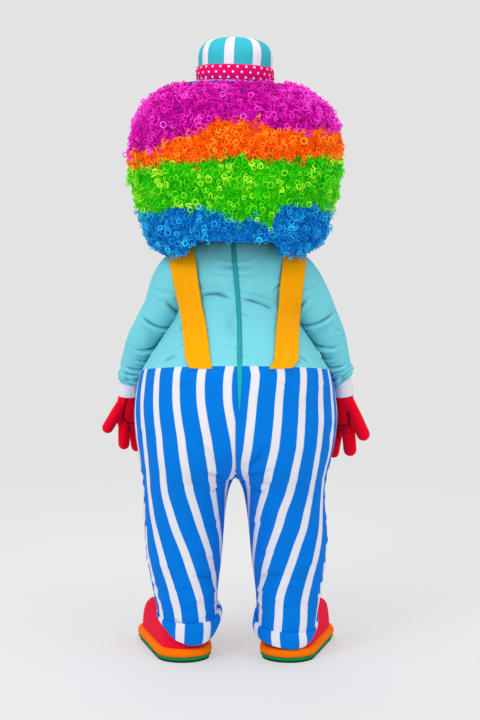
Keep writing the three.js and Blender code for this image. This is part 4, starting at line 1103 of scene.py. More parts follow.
def strap_grid(name, tree):
    """Where the rays land on what is under a strap, with their ways. Over the shoulder the strap's edges
    go by the height where a ray lands, found in a few rounds."""
    side = SIDES[name]

    def reach(x, start, way):
        origin = Vector((x * MM, start[0] + way[0], start[1] * MM + FLOOR + way[1]))
        hit = tree.ray_cast(origin, Vector((0, -way[0], -way[1])))[0]
        return 1 - (hit - origin).length if hit else np.nan

    grid, ways = [], []
    for start, way, table in strap_lines(name):
        level = start[1] + SHOULDER_GUESS * way[1]
        for _ in range(SHOULDER_ROUNDS if way[1] else 1):
            outer, inner = table.straight("outer", level), table.straight("inner", level)
            if way[1]:
                level = start[1] + reach(side * (inner + outer) / 2, start, way) / MM * way[1]
        xs = side * np.linspace(inner, outer, TRIM_COLUMNS + 1)
        grid.append([(x * MM, start[1] * MM + FLOOR, reach(x, start, way)) for x in xs])
        ways.append(way)
    return np.array(grid), np.array(ways)


def hull_smoothed(reach, passes=30):
    """Raises hollows towards their neighbours, as a taut band spans them, then softens the line."""
    taut = reach.copy()
    for _ in range(passes):
        taut[1:-1] = np.maximum(taut[1:-1], (taut[:-2] + taut[2:]) / 2)
    return np.maximum(reach, softened(taut, 6))


def build_straps():
    under = BACKS + ["bodice_front", "sleeve_left", "sleeve_right"]
    tree = tree_of(under + [f"trousers_{place}_{name}" for place in ("back", "front") for name in SIDES])
    for name in SIDES:
        found, ways = strap_grid(name, tree)
        across = np.linspace(-1, 1, found.shape[1])
        reach = hull_smoothed(found[..., 2])
        tilt = softened(np.polyfit(across, reach.T, 1)[0], 30)[:, None] * across
        reach = softened((reach - tilt).max(1, keepdims=True), 4) + tilt + 0.6 * MM
        way = ways[:, None, :]
        grid = np.stack([found[..., 0], way[..., 0] * reach, found[..., 1] + way[..., 1] * reach], -1)
        turnwise, upward = np.gradient(grid, axis=1), np.gradient(grid, axis=0)
        normal = unit(np.cross(turnwise, upward))
        outside = np.concatenate([np.zeros(way.shape[:1] + (1, 1)), way], -1)
        normal *= np.sign((normal * outside).sum(-1, keepdims=True))
        patch = grid_patch(grid, normal)
        relief = STRAP_WALL + 0.6 - 1.0 * np.abs(across) ** 6
        patch.raised(relief + 0.5 * uneven(patch.across / MM, patch.height, 90, 71))
        pattern = (np.broadcast_to(across, patch.height.shape), patch.along / MM)
        add_cloth(f"strap_{name}", patch, "strap_cloth", pattern=pattern, wall=STRAP_WALL, held="stretched")


# ---------- Gloves

KNUCKLES_ABOVE, THUMB_LEAN = 14, 12
GLOVE_VOXEL, GLOVE_WALL, GLOVE_GAP = 3.6, 1.8, 0.6
FINGERS_LEAN = {"inward": 8, "forward": 4}
FINGERS = {  # where each finger starts and ends across the hand, its length and its radius
    "left": [(-38, -50, 88, 19), (0, 12, 100, 18), (37, 50, 96, 17)],
    "right": [(-38, -64, 109, 22), (2, 18, 122, 18), (37, 54, 104, 17)],
}
THUMBS = {  # the same, and how far up the palm it starts
    "left": (-18, -90, 78, 19, 22),
    "right": (-24, -88, 104, 22, 14),
}
# Creases of the gloves between two places, each by its distance from the middle and its height
GLOVE_CREASES = {
    "left": [(358, 832, 371, 770, 4.5, 4.5), (371, 770, 352, 752, 4, 4.5), (352, 752, 322, 748, 4, 4),
             (352, 752, 350, 726, 3.5, 4), (371, 770, 374, 750, 4, 3.5)],
    "right": [(368, 786, 374, 744, 6, 4), (338, 740, 364, 748, 4.5, 4), (340, 730, 368, 736, 4, 3.5),
              (334, 748, 340, 702, 4.5, 4.5), (344, 721, 366, 724, 3.5, 3)],
}


def glove_crease(name, x, height):
    """How deep the glove is drawn in at each place, seen from behind or in front."""
    depth = np.zeros(x.shape)
    for x0, h0, x1, h1, width, deep in GLOVE_CREASES[name]:
        run, rise = x1 - x0, h1 - h0
        along = np.clip(((x - x0) * run + (height - h0) * rise) / (run ** 2 + rise ** 2), 0, 1)
        reach = np.hypot(x - x0 - along * run, height - h0 - along * rise)
        depth = np.maximum(depth, deep * np.exp(-((reach / width) ** 2)))
    return depth


def tube_round(shape, rings):
    """Adds a closed tube through rings of points, with both ends filled."""
    verts = [[shape.verts.new(point) for point in ring] for ring in rings]
    for low, high in zip(verts, verts[1:]):
        for i in range(len(low)):
            j = (i + 1) % len(low)
            shape.faces.new((low[i], low[j], high[j], high[i]))
    shape.faces.new(verts[0][::-1])
    shape.faces.new(verts[-1])


def capsule(shape, start, end, radius, segments=20):
    """Adds a round-ended digit to a mesh."""
    way = end - start
    length = way.length
    turn = way.to_track_quat("Z", "Y").to_matrix().to_4x4()
    turn.translation = start
    rings = []
    for along, wide in ((-0.9, 0.3), (-0.6, 0.72), (0, 1), (0.45, 1.04), (1, 1)):
        rings.append((along * radius if along <= 0 else along * (length - radius), wide * radius))
    for k in range(1, 7):
        bend = k / 6 * math.pi / 2
        rings.append((length - radius + radius * math.sin(bend), max(radius * math.cos(bend), radius * 0.02)))
    round_it = [(math.cos(TURN * i / segments), math.sin(TURN * i / segments)) for i in range(segments)]
    tube_round(shape, [[turn @ Vector((r * c, r * s, z)) for c, s in round_it] for z, r in rings])


def build_gloves():
    for name, side in SIDES.items():
        shape = bmesh.new()
        hand = dict(zip(ARM.columns, ARM.rows[-2]))
        heel = dict(zip(ARM.columns, ARM.rows[-4]))
        bearing = math.radians(hand["turn"])
        across = Vector((-side * math.cos(bearing), -math.sin(bearing), 0))
        point = lambda row: Vector((side * row["out"] * MM, row["behind"] * MM, row["height"] * MM + FLOOR))
        knuckles, palm = point(hand), point(heel)
        above = Vector((0, 0, KNUCKLES_ABOVE))
        lean = Vector((-side * FINGERS_LEAN["inward"], -FINGERS_LEAN["forward"], 0))
        for root, tip, length, radius in FINGERS[name]:
            start = knuckles + (across * root + above) * MM
            end = knuckles + (across * tip + above + lean - Vector((0, 0, length))) * MM
            capsule(shape, start, end, radius * MM)
        root, tip, length, radius, up = THUMBS[name]
        start = palm + (across * root + Vector((0, 0, up))) * MM
        end = palm + (across * tip + Vector((side * THUMB_LEAN, 0, -length))) * MM
        capsule(shape, start, end, radius * MM)
        patch = Patch(arm(side), (0, 1), ((CUFF_END_ROW - 0.35) / ARM.last, 1), 40, 26, closed=True)
        tube_round(shape, patch.points)
        bmesh.ops.recalc_face_normals(shape, faces=shape.faces)
        mesh = bpy.data.meshes.new(f"glove_{name}_cloth")
        shape.to_mesh(mesh)
        shape.free()
        glove = add_piece(f"glove_{name}_cloth", mesh, "glove_cloth", [f"glove_{name}"])
        remesh = glove.modifiers.new("skin", "REMESH")
        remesh.mode, remesh.voxel_size = "VOXEL", GLOVE_VOXEL * MM
        soften = glove.modifiers.new("soften", "SMOOTH")
        soften.factor, soften.iterations = 0.5, 5
        whole = bpy.data.meshes.new_from_object(glove.evaluated_get(bpy.context.evaluated_depsgraph_get()))
        glove.modifiers.clear()
        opened = bmesh.new()
        opened.from_mesh(whole)
        wrist = arm_line(side, np.array(float(CUFF_END_ROW)))
        way = unit(arm_line(side, np.array(CUFF_END_ROW + 0.1)) - wrist) + np.array([side * CUFF_SLOPE, 0, 0])
        bmesh.ops.bisect_plane(opened, geom=opened.verts[:] + opened.edges[:] + opened.faces[:],
                               plane_co=Vector(wrist) + Vector(way) * GLOVE_GAP * MM, plane_no=Vector(way),
                               clear_inner=True)
        bmesh.ops.triangulate(opened, faces=[f for f in opened.faces if len(f.verts) > 4])
        opened.to_mesh(whole)
        opened.free()
        whole.shade_smooth()
        co, normals = np.empty((2, len(whole.vertices) * 3), np.float32)
        whole.vertices.foreach_get("co", co)
        whole.vertex_normals.foreach_get("vector", normals)
        points, normals = co.reshape(-1, 3), normals.reshape(-1, 3)
        depth = glove_crease(name, side * points[:, 0] / MM, height_of(points))
        points -= normals * (depth * MM)[:, None]
        whole.vertices.foreach_set("co", points.ravel())
        # The third cloth coordinate is the creases' depth made half as deep again, so that the cloth paints
        # more shade into them.
        on_cloth = np.stack([points[:, 0] + points[:, 1], points[:, 2], -depth * 1.4 * MM], -1)
        lay_cloth(whole, on_cloth)
        glove.data = whole
        whole.materials.clear()
        whole.materials.append(material_for("glove_cloth"))
        wall = glove.modifiers.new("wall", "SOLIDIFY")
        wall.thickness, wall.offset = GLOVE_WALL * MM, -1.0


# ---------- Shoes

SHOE_BAND_WALL, WELT_WALL, WELT_RIBS = 2, 1.6, 50
# Heights over the floor, each with how far it lies in from the outline
BAND_ROWS = [
    (WELT_TOP + 0.5, 10), (WELT_TOP + 2, 4), (WELT_TOP + 8, 0.5), (29, 0), (36, 1.5),
    (BAND_TOP - 1, 5), (BAND_TOP + 1.5, 10), (BAND_TOP + 1, 17),
]
WELT_ROWS = [
    (SOLE_TOP + 0.5, 12), (SOLE_TOP + 1, 7.5), (10, 4), (WELT_TOP - 1, 2.5), (WELT_TOP + 0.8, 6),
]
SOLE_ROWS = [
    (0.0, 120), (0.0, 60), (0.0, 12), (0.6, 10), (4.2, 9), (SOLE_TOP - 0.3, 12), (SOLE_TOP - 0.3, 60),
]


def build_shoes():
    for name, side in SIDES.items():
        upper = Patch(shoe_upper(name), columns=100, rows=34, side=side, closed=True)
        seam = -1.6 * np.exp(-(((upper.v - 0.02) / 0.02) ** 2))
        upper.raised(seam + 0.8 * uneven(upper.across / MM, upper.height, 110, 81 + side))
        add_cloth(f"shoe_{name}_upper", upper, "shoe_red", wall=SHOE_WALL)
        band = Patch(shoe_ring(side, BAND_ROWS), columns=120, rows=18, side=side, closed=True)
        band.raised(0.5 * uneven(band.across / MM, band.height * 2, 70, 85 + side))
        add_cloth(f"shoe_{name}_band", band, "shoe_orange", wall=SHOE_BAND_WALL)
        welt = Patch(shoe_ring(side, WELT_ROWS), columns=200, rows=10, side=side, closed=True)
        welt.raised(0.5 * np.sin(welt.u * TURN * WELT_RIBS) * np.sin(math.pi * welt.v))
        add_cloth(f"shoe_{name}_welt", welt, "shoe_green", wall=WELT_WALL)
        node = f"shoe_{name}_sole"
        rings = Patch(shoe_ring(side, SOLE_ROWS), (0, 1), (0, 0.999), 72, 30, side=side, closed=True)
        rings.points[..., 2] = np.clip(rings.points[..., 2], FLOOR, FLOOR + SOLE_TOP * MM)
        points, faces = skin_of(rings)
        mesh = mesh_of(node, points, faces, points)
        add_piece(node + "_rubber", mesh, "shoe_sole", [node])


# ---------- Head and face

EYE_OUT, EYE = 72, {"height": 1590, "wide": 34, "high": 46, "dome": 3.5}
PUPIL_RADIUS = 13.8
MOUTH = {"height": 1440, "wide": 80, "high": 24, "dome": 4}
SMILE = {"thin": 0.62, "half": 84, "rise": 26, "drop": 12}
NOSE = {"height": 1520, "radius": 38, "ahead": 24}


def head_front(x, height, lift):
    """Points on the front of the head, lifted off it."""
    wide, deep = HEAD.at_height("wide", height) + lift, HEAD.at_height("deep", height) + lift
    return in_frame(x, -deep * depth_share(x / wide, HEAD_SQUARENESS), height)


def face_patch(name, x, size, slot, node, shape=None):
    """A padded patch on the face: a domed disc with its rim on the head."""
    rings, columns = 10, 40
    height, dome = size["height"], size["dome"]
    reach = np.linspace(0.01, 1, rings)[:, None] + np.zeros(columns)
    angle = np.linspace(0, TURN, columns, endpoint=False) + np.zeros((rings, 1))
    a, b = size["wide"] * reach * np.cos(angle), size["high"] * reach * np.sin(angle)
    if shape:
        a, b = shape(a, b)
    top = head_front(x + a, height + b, 1 + dome * np.sqrt(np.clip(1 - reach ** 3, 0, 1)))
    points = np.concatenate([top, head_front(x + a[-1:], height + b[-1:], 0.2)])
    flat = np.stack([a, b, np.zeros_like(a)], -1)
    flat = np.concatenate([flat, flat[-1:]]).reshape(-1, 3) * MM
    faces = quads_of(rings + 1, columns, True).reshape(-1, 4)
    faces = outward(points.reshape(-1, 3), np.broadcast_to([0.0, -1.0, 0.0], (points.size // 3, 3)), faces)
    mesh = mesh_of(name, points.reshape(-1, 3), faces, flat)
    return add_piece(name, mesh, slot, [node])


def smiling(a, b):
    """Thins the mouth's disc and lifts its corners."""
    return a, b * SMILE["thin"] + (a / SMILE["half"]) ** 2 * SMILE["rise"] - SMILE["drop"]


def build_head():
    patch = Patch(level_surface(HEAD, HEAD_SQUARENESS), columns=64, rows=44, closed=True)
    seam = 1.2 * np.exp(-((((patch.u - 0.25) % 0.5) / 0.004) ** 2))
    patch.raised(0.5 * uneven(patch.u * 700, patch.height, 160, 91) - seam)
    add_cloth("head_shell", patch, "head_skin", wall=HEAD_WALL)
    for name, side in SIDES.items():
        face_patch(f"eye_{name}_felt", side * EYE_OUT, EYE, "face_white", f"eye_{name}")
    face_patch("mouth_felt", 0, MOUTH, "face_red", "mouth", smiling)
    nose = bmesh.new()
    bmesh.ops.create_icosphere(nose, subdivisions=3, radius=NOSE["radius"] * MM)
    mesh = bpy.data.meshes.new("nose_ball")
    ahead = HEAD.at_height("deep", NOSE["height"]) + NOSE["ahead"]
    middle = Vector((0, -ahead * MM, NOSE["height"] * MM + FLOOR))
    for v in nose.verts:
        v.co = v.co * (1 + 0.012 * math.sin(v.co.x * 190) * math.cos(v.co.z * 170)) + middle
    nose.to_mesh(mesh)
    nose.free()
    mesh.shade_smooth()
    co = np.empty(len(mesh.vertices) * 3, np.float32)
    mesh.vertices.foreach_get("co", co)
    lay_cloth(mesh, co)
    add_piece("nose_ball", mesh, "face_red", ["nose"])


# ---------- Wig

TUFT_LOCKS = 16                 # locks that gather round one middle
EVEN_STEPS = (0.7548776662466927, 0.5698402909980532)   # steps that spread places evenly both ways
RIM_SHARE, SEAT_SHARE = 14, 36  # one more lock round the face, and round the brim, for so many on the wig
STRAY_SHARE = 0.13              # how many locks stand out from the rest
LOCK_RINGS, LOCK_SIDES = 11, 3
BAND_JITTER = 9                 # how unevenly the bands of colour meet
MASS_SINK = 12                  # how far the mass lies within the locks
SEAT_DROP = 7                   # how far the curls round the brim start under it
UNDER_BRIM = [(1845, 160, 155), (1844, 120, 120)]      # rows that close the mass of curls under the brim


def wig_bearing(points):
    """Bearings from the middle of the back towards the wearer's right, in degrees."""
    return np.degrees(np.arctan2(-points[..., 0], points[..., 1]))


def band_at(points, jitter):
    """Which band of colour each point of the wig is in, counted from below."""
    bearing = wig_bearing(points)
    height = height_of(points) + jitter
    wave = 7 * uneven(bearing * 3, height * 0, 60, 101)
    band = np.zeros(bearing.shape, int)
    for name in BAND_NODES[:-1]:
        edge = BAND_EDGES[name]
        degrees = [b for b, _ in edge] + [180]
        heights = [h for _, h in edge] + [edge[0][1]]
        band += height > np.interp(bearing, degrees, heights) + wave
    return band


def clear_of_face(points):
    x, height = points[..., 0] / MM, height_of(points)
    middle, half = (FACE["low"] + FACE["high"]) / 2, (FACE["high"] - FACE["low"]) / 2
    in_face = (x / FACE["wide"]) ** 2 + ((height - middle) / half) ** 2 < 1
    chin = (np.abs(x) < 120 + 20 * np.clip((height - 1200) / 280, 0, 1)) & (height < 1480)
    return ~((in_face | chin) & (points[..., 1] < -FACE["depth"] * MM))


def clear_of_nape(points):
    across, low = zip(*NAPE)
    x, height = points[..., 0] / MM, height_of(points)
    arch = np.interp(x, across, low, left=0, right=0)
    return (height > arch) | (points[..., 1] < NAPE_FROM * MM)


def wig_places(count, seed):
    """Evenly scattered places on the wig, with outward normals."""
    surface = level_surface(WIG, WIG_SQUARENESS)
    fine = Patch(surface, columns=240, rows=160)
    upward, turnwise = np.diff(fine.points[:, :-1], axis=0), np.diff(fine.points[:-1], axis=1)
    by_row = np.linalg.norm(np.cross(upward, turnwise), axis=-1).sum(1)
    rows = np.concatenate([[0], np.cumsum(by_row)]) / by_row.sum()
    n = np.arange(count)
    first, second = ((0.5 + n * step) % 1 for step in EVEN_STEPS)
    dice = np.random.default_rng(seed)
    v = np.interp(first, rows, np.linspace(0, 1, len(rows)))
    u = (second + dice.uniform(-0.002, 0.002, count)) % 1
    points, normals = surface(u, v), facing(surface, u, v)
    lobes = 5 * uneven(wig_bearing(points) * 3, height_of(points), 120, seed + 1)
    return points + normals * (lobes * MM)[:, None], normals


def rim_places(count, seed):
    """Places on the inner wall of the wig round the face, facing its middle."""
    dice = np.random.default_rng(seed)
    angle = dice.uniform(-0.28 * math.pi, 1.28 * math.pi, count)
    middle, half = (FACE["low"] + FACE["high"]) / 2, (FACE["high"] - FACE["low"]) / 2
    x, height = FACE["wide"] * np.cos(angle), middle + half * np.sin(angle)
    share = dice.uniform(0, 1, count)
    front = -WIG.at_height("deep", height) * depth_share(x / WIG.at_height("wide", height), WIG_SQUARENESS)
    back = -HEAD.at_height("deep", height) * depth_share(x / HEAD.at_height("wide", height), HEAD_SQUARENESS)
    points = in_frame(x, front + (back - front) * share * 0.9, height)
    normals = np.stack([-np.cos(angle), -0.5 * np.ones(count), -np.sin(angle)], -1)
    return points + unit(normals) * 4 * MM, unit(normals)


def seat_places(count, seed):
    """Places on the top of the wig, from its shoulder in to the hat's brim, facing up."""
    dice = np.random.default_rng(seed)
    wide, deep = WIG.read("wide", WIG.last), WIG.read("deep", WIG.last)
    x, y = ring_point(dice.uniform(0, TURN, count), wide, deep, WIG_SQUARENESS)
    inner = (BRIM_RADIUS + 6) / np.hypot(x, y)
    share = inner + (1 - inner) * dice.uniform(0, 1, count)
    points = in_frame(x * share + HAT_SHIFT, y * share, HAT_SEAT - SEAT_DROP + 0 * x)
    return points, np.tile([0.0, 0.0, 1.0], (count, 1))


def tufts(points, dice, count):
    """Gathers locks into tufts: how near each lock is to the middle of its own, and the tuft's own tone."""
    middles = points[dice.choice(len(points), count, replace=False)]
    near, far, own = np.zeros(len(points)), np.zeros(len(points)), np.zeros(len(points), int)
    for start in range(0, len(points), 500):
        part = slice(start, start + 500)
        reach = np.linalg.norm(points[part, None] - middles[None], axis=-1)
        order = np.argpartition(reach, 1, axis=1)
        here = np.arange(len(reach))
        near[part], far[part] = reach[here, order[:, 0]], reach[here, order[:, 1]]
        own[part] = order[:, 0]
    return 1 - near / far, dice.uniform(0, 1, count)[own]


def ringlets(points, normals, dice, radius, lock, turns=(1.25, 1.9)):
    """One coiled lock for each place: (places, rings, 3 sides, xyz), with the painted light along it, and a
    tone of its tuft and its own.
    """
    count = len(points)
    middle, tuft_tone = tufts(points, dice, count // TUFT_LOCKS)
    t = np.linspace(0, 1, LOCK_RINGS)[None, :]
    tilt = unit(normals * dice.uniform(0.7, 1.3, (count, 1)) + dice.normal(0, 0.62, (count, 3)))
    helper = unit(dice.normal(0, 1, (count, 3)))
    e1 = unit(np.cross(tilt, helper))
    e2 = np.cross(tilt, e1)
    r = radius * dice.uniform(0.72, 1.25, (count, 1)) * (0.8 + 0.3 * t)
    phase = dice.uniform(0, TURN, (count, 1))
    hand = dice.choice([-1, 1], (count, 1))
    spin = phase + hand * TURN * dice.uniform(*turns, (count, 1)) * t
    rise = dice.uniform(9, 17, (count, 1)) * (t - 0.75)
    stray = dice.uniform(0, 1, (count, 1)) < STRAY_SHARE
    raised = smooth(middle / 0.7)[:, None]
    depth = dice.uniform(-13, -1, (count, 1)) + 9 * raised - 3 + stray * dice.uniform(3, 13, (count, 1))
    lift = tilt[:, None, :] * rise[..., None] + normals[:, None, :] * depth[..., None]
    centre = points[:, None, :] + lift * MM
    radial = e1[:, None, :] * np.cos(spin)[..., None] + e2[:, None, :] * np.sin(spin)[..., None]
    line = centre + radial * r[..., None] * MM
    thick = lock * MM * dice.uniform(0.8, 1.2, (count, 1)) * np.sin(math.pi * (0.12 + 0.8 * t)) ** 0.5
    sides = np.arange(LOCK_SIDES) * TURN / LOCK_SIDES
    ring = (radial[..., None, :] * np.cos(sides)[:, None] + tilt[:, None, None, :] * np.sin(sides)[:, None])
    tube = line[..., None, :] + ring * thick[..., None, None]
    # Painted light: deep locks and their roots are toned towards painted shade, and locks that stand out and
    # their tips towards painted highlight; the borders of tufts lie deeper and so darker.
    out = np.clip((depth + 16) / 22 * 0.7 + (rise / 17 + 0.75) * 0.42, 0, 1)
    shade = 0.6 * tuft_tone[:, None] + 0.4 * dice.uniform(0, 1, (count, 1)) + 0 * t
    return tube, out, shade


def curl_mesh(name, tube, tone, shade):
    count, rings = tube.shape[:2]
    index = np.arange(count * rings * LOCK_SIDES).reshape(count, rings, LOCK_SIDES)
    following = np.roll(index, -1, axis=2)
    quads = np.stack([index[:, :-1], index[:, 1:], following[:, 1:], following[:, :-1]], -1).reshape(-1, 4)
    mesh = mesh_of(name, tube.reshape(-1, 3), quads, sharp=None)
    # u carries the painted light along each lock, v the tone of its tuft and its own.
    u = np.repeat(0.03 + 0.94 * tone[..., None], LOCK_SIDES, axis=2).reshape(-1)
    v = np.repeat(0.04 + 0.9 * shade[..., None], LOCK_SIDES, axis=2)
    v = (v + np.array([0.0, 0.012, 0.024])).reshape(-1)
    layer = mesh.uv_layers.new(name="OFBake")
    loops = quads.reshape(-1)
    layer.data.foreach_set("uv", np.stack([u[loops], v[loops]], -1).astype(np.float32).ravel())
    return mesh


def build_wig(count, radius, lock):
    """Locks on a lumpy mass, each in its band of colour."""
    dice = np.random.default_rng(7)
    points, normals = wig_places(count, 5)
    rim_points, rim_normals = rim_places(count // RIM_SHARE, 6)
    keep = clear_of_face(points) & clear_of_nape(points) & ~inside_bodice(points, -10)
    keep &= ~inside_arm(points, LEFT, -12) & ~inside_arm(points, RIGHT, -12)
    seat_points, seat_normals = seat_places(count // SEAT_SHARE, 8)
    points = np.concatenate([points[keep], rim_points, seat_points])
    normals = np.concatenate([normals[keep], rim_normals, seat_normals])
    tube, tone, shade = ringlets(points, normals, dice, radius, lock)
    band = band_at(points, dice.normal(0, BAND_JITTER, len(points)))
    for k, node in enumerate(BAND_NODES):
        chosen = band == k
        slot = node.replace("wig", "curls")
        for side, label in NAMES.items():
            here = chosen & ((points[:, 0] > 0) == (side == LEFT))
            mesh = curl_mesh(f"{node}_{label}", tube[here], tone[here], shade[here])
            add_piece(f"{node}_locks_{label}", mesh, slot, [node])
    closed_over = Table("height wide deep", WIG_ROWS + UNDER_BRIM)
    ground = Patch(level_surface(closed_over, WIG_SQUARENESS), columns=180, rows=110, closed=True)
    ground.raised(5 * uneven(ground.u * 2000, ground.height * 1.1, 60, 111) - MASS_SINK)
    middles = face_middles(ground)
    where = band_at(middles, 0)
    clear = clear_of_face(middles) & clear_of_nape(middles) & ~inside_bodice(middles, -4)
    quads = quads_of(*ground.points.shape[:2], True)
    flat_points, flat_normals = ground.points.reshape(-1, 3), ground.normals.reshape(-1, 3)
    for k, node in enumerate(BAND_NODES):
        faces = outward(flat_points, flat_normals, quads[(where == k) & clear].reshape(-1, 4))
        mesh = mesh_of(f"{node}_mass", flat_points, faces, sharp=None)
        without_loose(mesh)
        slot = node.replace("wig", "curls")
        add_piece(f"{node}_mass", mesh, slot, [node])
        mesh.materials.clear()
        mesh.materials.append(curly_ground(f"{slot}_mass", node.replace("wig_", "")))


# ---------- Hat

def bearing_of(patch):
    """The bearing from the middle of the back towards the wearer's right, in degrees."""
    return np.degrees(np.arctan2(-np.cos(patch.u * TURN), np.sin(patch.u * TURN)))


def hat_patch(table, columns, rows):
    surface = level_surface(table, HAT_SQUARENESS)
    return Patch(surface, columns=columns, rows=rows, closed=True, move=seated_hat)


def build_hat():
    crown = hat_patch(CROWN, 104, 36)
    bearing, own = bearing_of(crown), CROWN.read("height", crown.v * CROWN.last)
    gored_at = bearing + GORE_SHIFT
    middle = np.abs((gored_at / GORE_TURN + 0.5) % 1 - 0.5)
    seam = np.exp(-(((middle - WHITE_GORE / GORE_TURN / 2) / 0.025) ** 2))
    shoulder = np.exp(-(((own - 126) / 16) ** 2)) * np.cos(np.radians(gored_at) * 8)
    crown.raised(-0.9 * seam + 1.6 * shoulder + 0.6 * uneven(bearing, own, 70, 121))
    add_cloth("hat_crown", crown, "hat_cloth", pattern=(gored_at, own), wall=CLOTH_WALL)
    rows = [(BAND_LOW - 1, 0.6), (BAND_LOW - 1.5, 3.4), (BAND_LOW + 4, BAND_BULGE), (24, BAND_BULGE + 1.6),
            (35, BAND_BULGE + 2), (46, BAND_BULGE + 1.4), (BAND_HIGH - 4, BAND_BULGE), (BAND_HIGH + 1, 3.4),
            (BAND_HIGH, 0.6)]
    section = round_table([(height, CROWN.at_height("wide", height) + out) for height, out in rows])
    band = hat_patch(section, 140, 26)
    around, own = bearing_of(band), section.read("height", band.v * section.last)
    gathers = sum(np.exp(-(((around - at) / 10) ** 2)) for at in (-84, 84))
    band.raised(0.7 * uneven(around, own * 2, 60, 131) + gathers * 1.8 * np.sin(own * 0.55 + around * 0.05))
    pattern = (np.radians(around) * DOTS_RADIUS + 6, own - 9.5 + 0.8 * uneven(around, own, 80, 133))
    add_cloth("hat_band", band, "dotted_cloth", pattern=pattern, wall=HAT_BAND_WALL)
    section = round_table([
        (0, CROWN_RADIUS + 1), (0, BRIM_MIDDLE), (0, BRIM_RADIUS - 3), (2.5, BRIM_RADIUS),
        (4.5, BRIM_RADIUS - 3), (BRIM_TOP, BRIM_MIDDLE), (BRIM_TOP + 1, CROWN_RADIUS + 1)])
    points, faces = skin_of(hat_patch(section, 96, 18))
    in_teal = np.full(len(points), GORE_TURN / 2 * MM)
    on_cloth = np.stack([in_teal, points[:, 1], np.zeros(len(points))], -1)
    mesh = mesh_of("hat_brim_cloth", points, faces, on_cloth)
    add_piece("hat_brim_cloth", mesh, "hat_cloth", ["hat_brim"])


# ---------- Stage

BLACK = (0.0, 0.0, 0.0, 1.0)
FLOOR_TONE, BACKDROP_TONE = (0.775, 0.78, 0.785, 1.0), (0.765, 0.768, 0.768, 1.0)
FLOOR_RADIUS, FLOOR_LIT = 60, 0.5
FADE_FROM, FADE_TO = 1.2, 5.0   # how far from the middle the floor turns into plain ground
LAMPS = {  # place, size and share of the key light's power
    "key": ((2.6, 4.0, 3.0), 2.0, 1.0), "second": ((-3.4, 4.2, 1.4), 3.0, 0.35),
    "front": ((0.4, -4.0, 2.6), 3.5, 0.5), "top": ((0.0, 1.2, 4.2), 2.5, 0.5),
}
LAMPS_AIM = (0, 0, -0.2)
CAMERA_PLACE, CAMERA_DOWN = (-0.014, 5.0, 0.0), 4.149
CAMERA_LENS, SENSOR_WIDTH = 77.19, 36


def plain_material(name, near, far_tone, lit):
    """Pale ground that glows evenly; lit is how much of its tone comes from the lamps near the costume."""
    shader = Shader(name)
    place = shader.node("TexCoord", 3)
    reach = shader.node("VectorMath", 1, {0: place}, operation="LENGTH")
    far = reach.step(FADE_FROM, FADE_TO)
    glow = shader.mix(far, shader.shade(near, 1 - lit), far_tone)
    return shader.finish(Base_Color=shader.mix(far, shader.shade(near, lit), BLACK), Roughness=1.0,
                         Specular_IOR_Level=0.0, Emission_Color=glow, Emission_Strength=1.0)


def flat_disc(name, radius, material):
    shape = bmesh.new()
    bmesh.ops.create_circle(shape, cap_ends=True, radius=radius, segments=64)
    mesh = bpy.data.meshes.new(name)
    shape.to_mesh(mesh)
    shape.free()
    disc = placed(name, mesh)
    mesh.materials.append(material)
    return disc


def build_stage(key, fill):
    scene = bpy.context.scene
    pale = plain_material("floor", FLOOR_TONE, BACKDROP_TONE, FLOOR_LIT)
    flat_disc("floor", FLOOR_RADIUS, pale).location.z = FLOOR
    world = bpy.data.worlds.new("studio")
    scene.world = world
    world.use_nodes = True
    ground = world.node_tree.nodes["Background"]
    ground.inputs["Color"].default_value = BACKDROP_TONE
    ground.inputs["Strength"].default_value = fill
    for name, (place, size, share) in LAMPS.items():
        data = bpy.data.lights.new(name, "AREA")
        data.shape, data.size, data.energy = "DISK", size, key * share
        lamp = placed(name, data)
        lamp.location = place
        lamp.rotation_euler = (Vector(LAMPS_AIM) - Vector(place)).to_track_quat("-Z", "Y").to_euler()
    data = bpy.data.cameras.new("camera")
    data.lens, data.sensor_width, data.sensor_fit = CAMERA_LENS, SENSOR_WIDTH, "AUTO"
    camera = placed("camera", data)
    camera.location = CAMERA_PLACE
    camera.rotation_euler = (math.radians(90 - CAMERA_DOWN), 0, math.pi)
    scene.camera = camera
    scene.view_settings.view_transform = "Standard"


# ---------- Settings, operators and panel

def colour_setting(name, description, code):
    return FloatVectorProperty(name=name, description=description, subtype="COLOR", size=3, min=0.0, max=1.0,
                               default=rgb(code)[:3])


def depth_setting(name, description, default, most=3.0):
    return FloatProperty(name=name, description=description, default=default, min=0.0, max=most,
                         subtype="FACTOR")


def size_setting(name, description, default, least, most):
    return FloatProperty(name=name, description=description, default=default * MM, min=least * MM,
                         max=most * MM, subtype="DISTANCE", unit="LENGTH")


class CostumeClothSettings(PropertyGroup):
    teal: colour_setting("Teal Cloth", "Colour of the bodice and sleeves", "78d3df")
    blue_stripes: colour_setting("Blue Stripes", "Ground colour of the trousers", "007ae0")
    white_stripes: colour_setting("White Stripes", "Colour of the trousers' narrow stripes", "e8e7f1")
    white_cuffs: colour_setting("White Cuffs", "Colour of the cuffs", "e6e5f0")
    straps: colour_setting("Straps", "Colour of the straps", "fda900")
    gloves: colour_setting("Gloves", "Colour of the gloves", "ee0024")
    shoes: colour_setting("Shoes", "Colour of the shoes' uppers", "ee0f38")
    stripe_width: size_setting("Stripe Width", "Width of a white stripe of the trousers", STRIPE_WIDTH, 5, 60)
    zip_width: size_setting("Zip Width", "Width of the zip's tape on the bodice", ZIP_WIDTH, 6, 30)
    bodice_creases: depth_setting("Bodice Creases", "How deep the bodice's creases are", 1.9)
    sleeve_creases: depth_setting("Sleeve Creases", "How deep the sleeves' creases are", 1.5)
    trouser_creases: depth_setting("Trouser Creases", "How deep the trousers' creases are", 1.15)
    turnup_waves: depth_setting("Turn-up Waves", "How uneven the turn-ups are", 1.0)


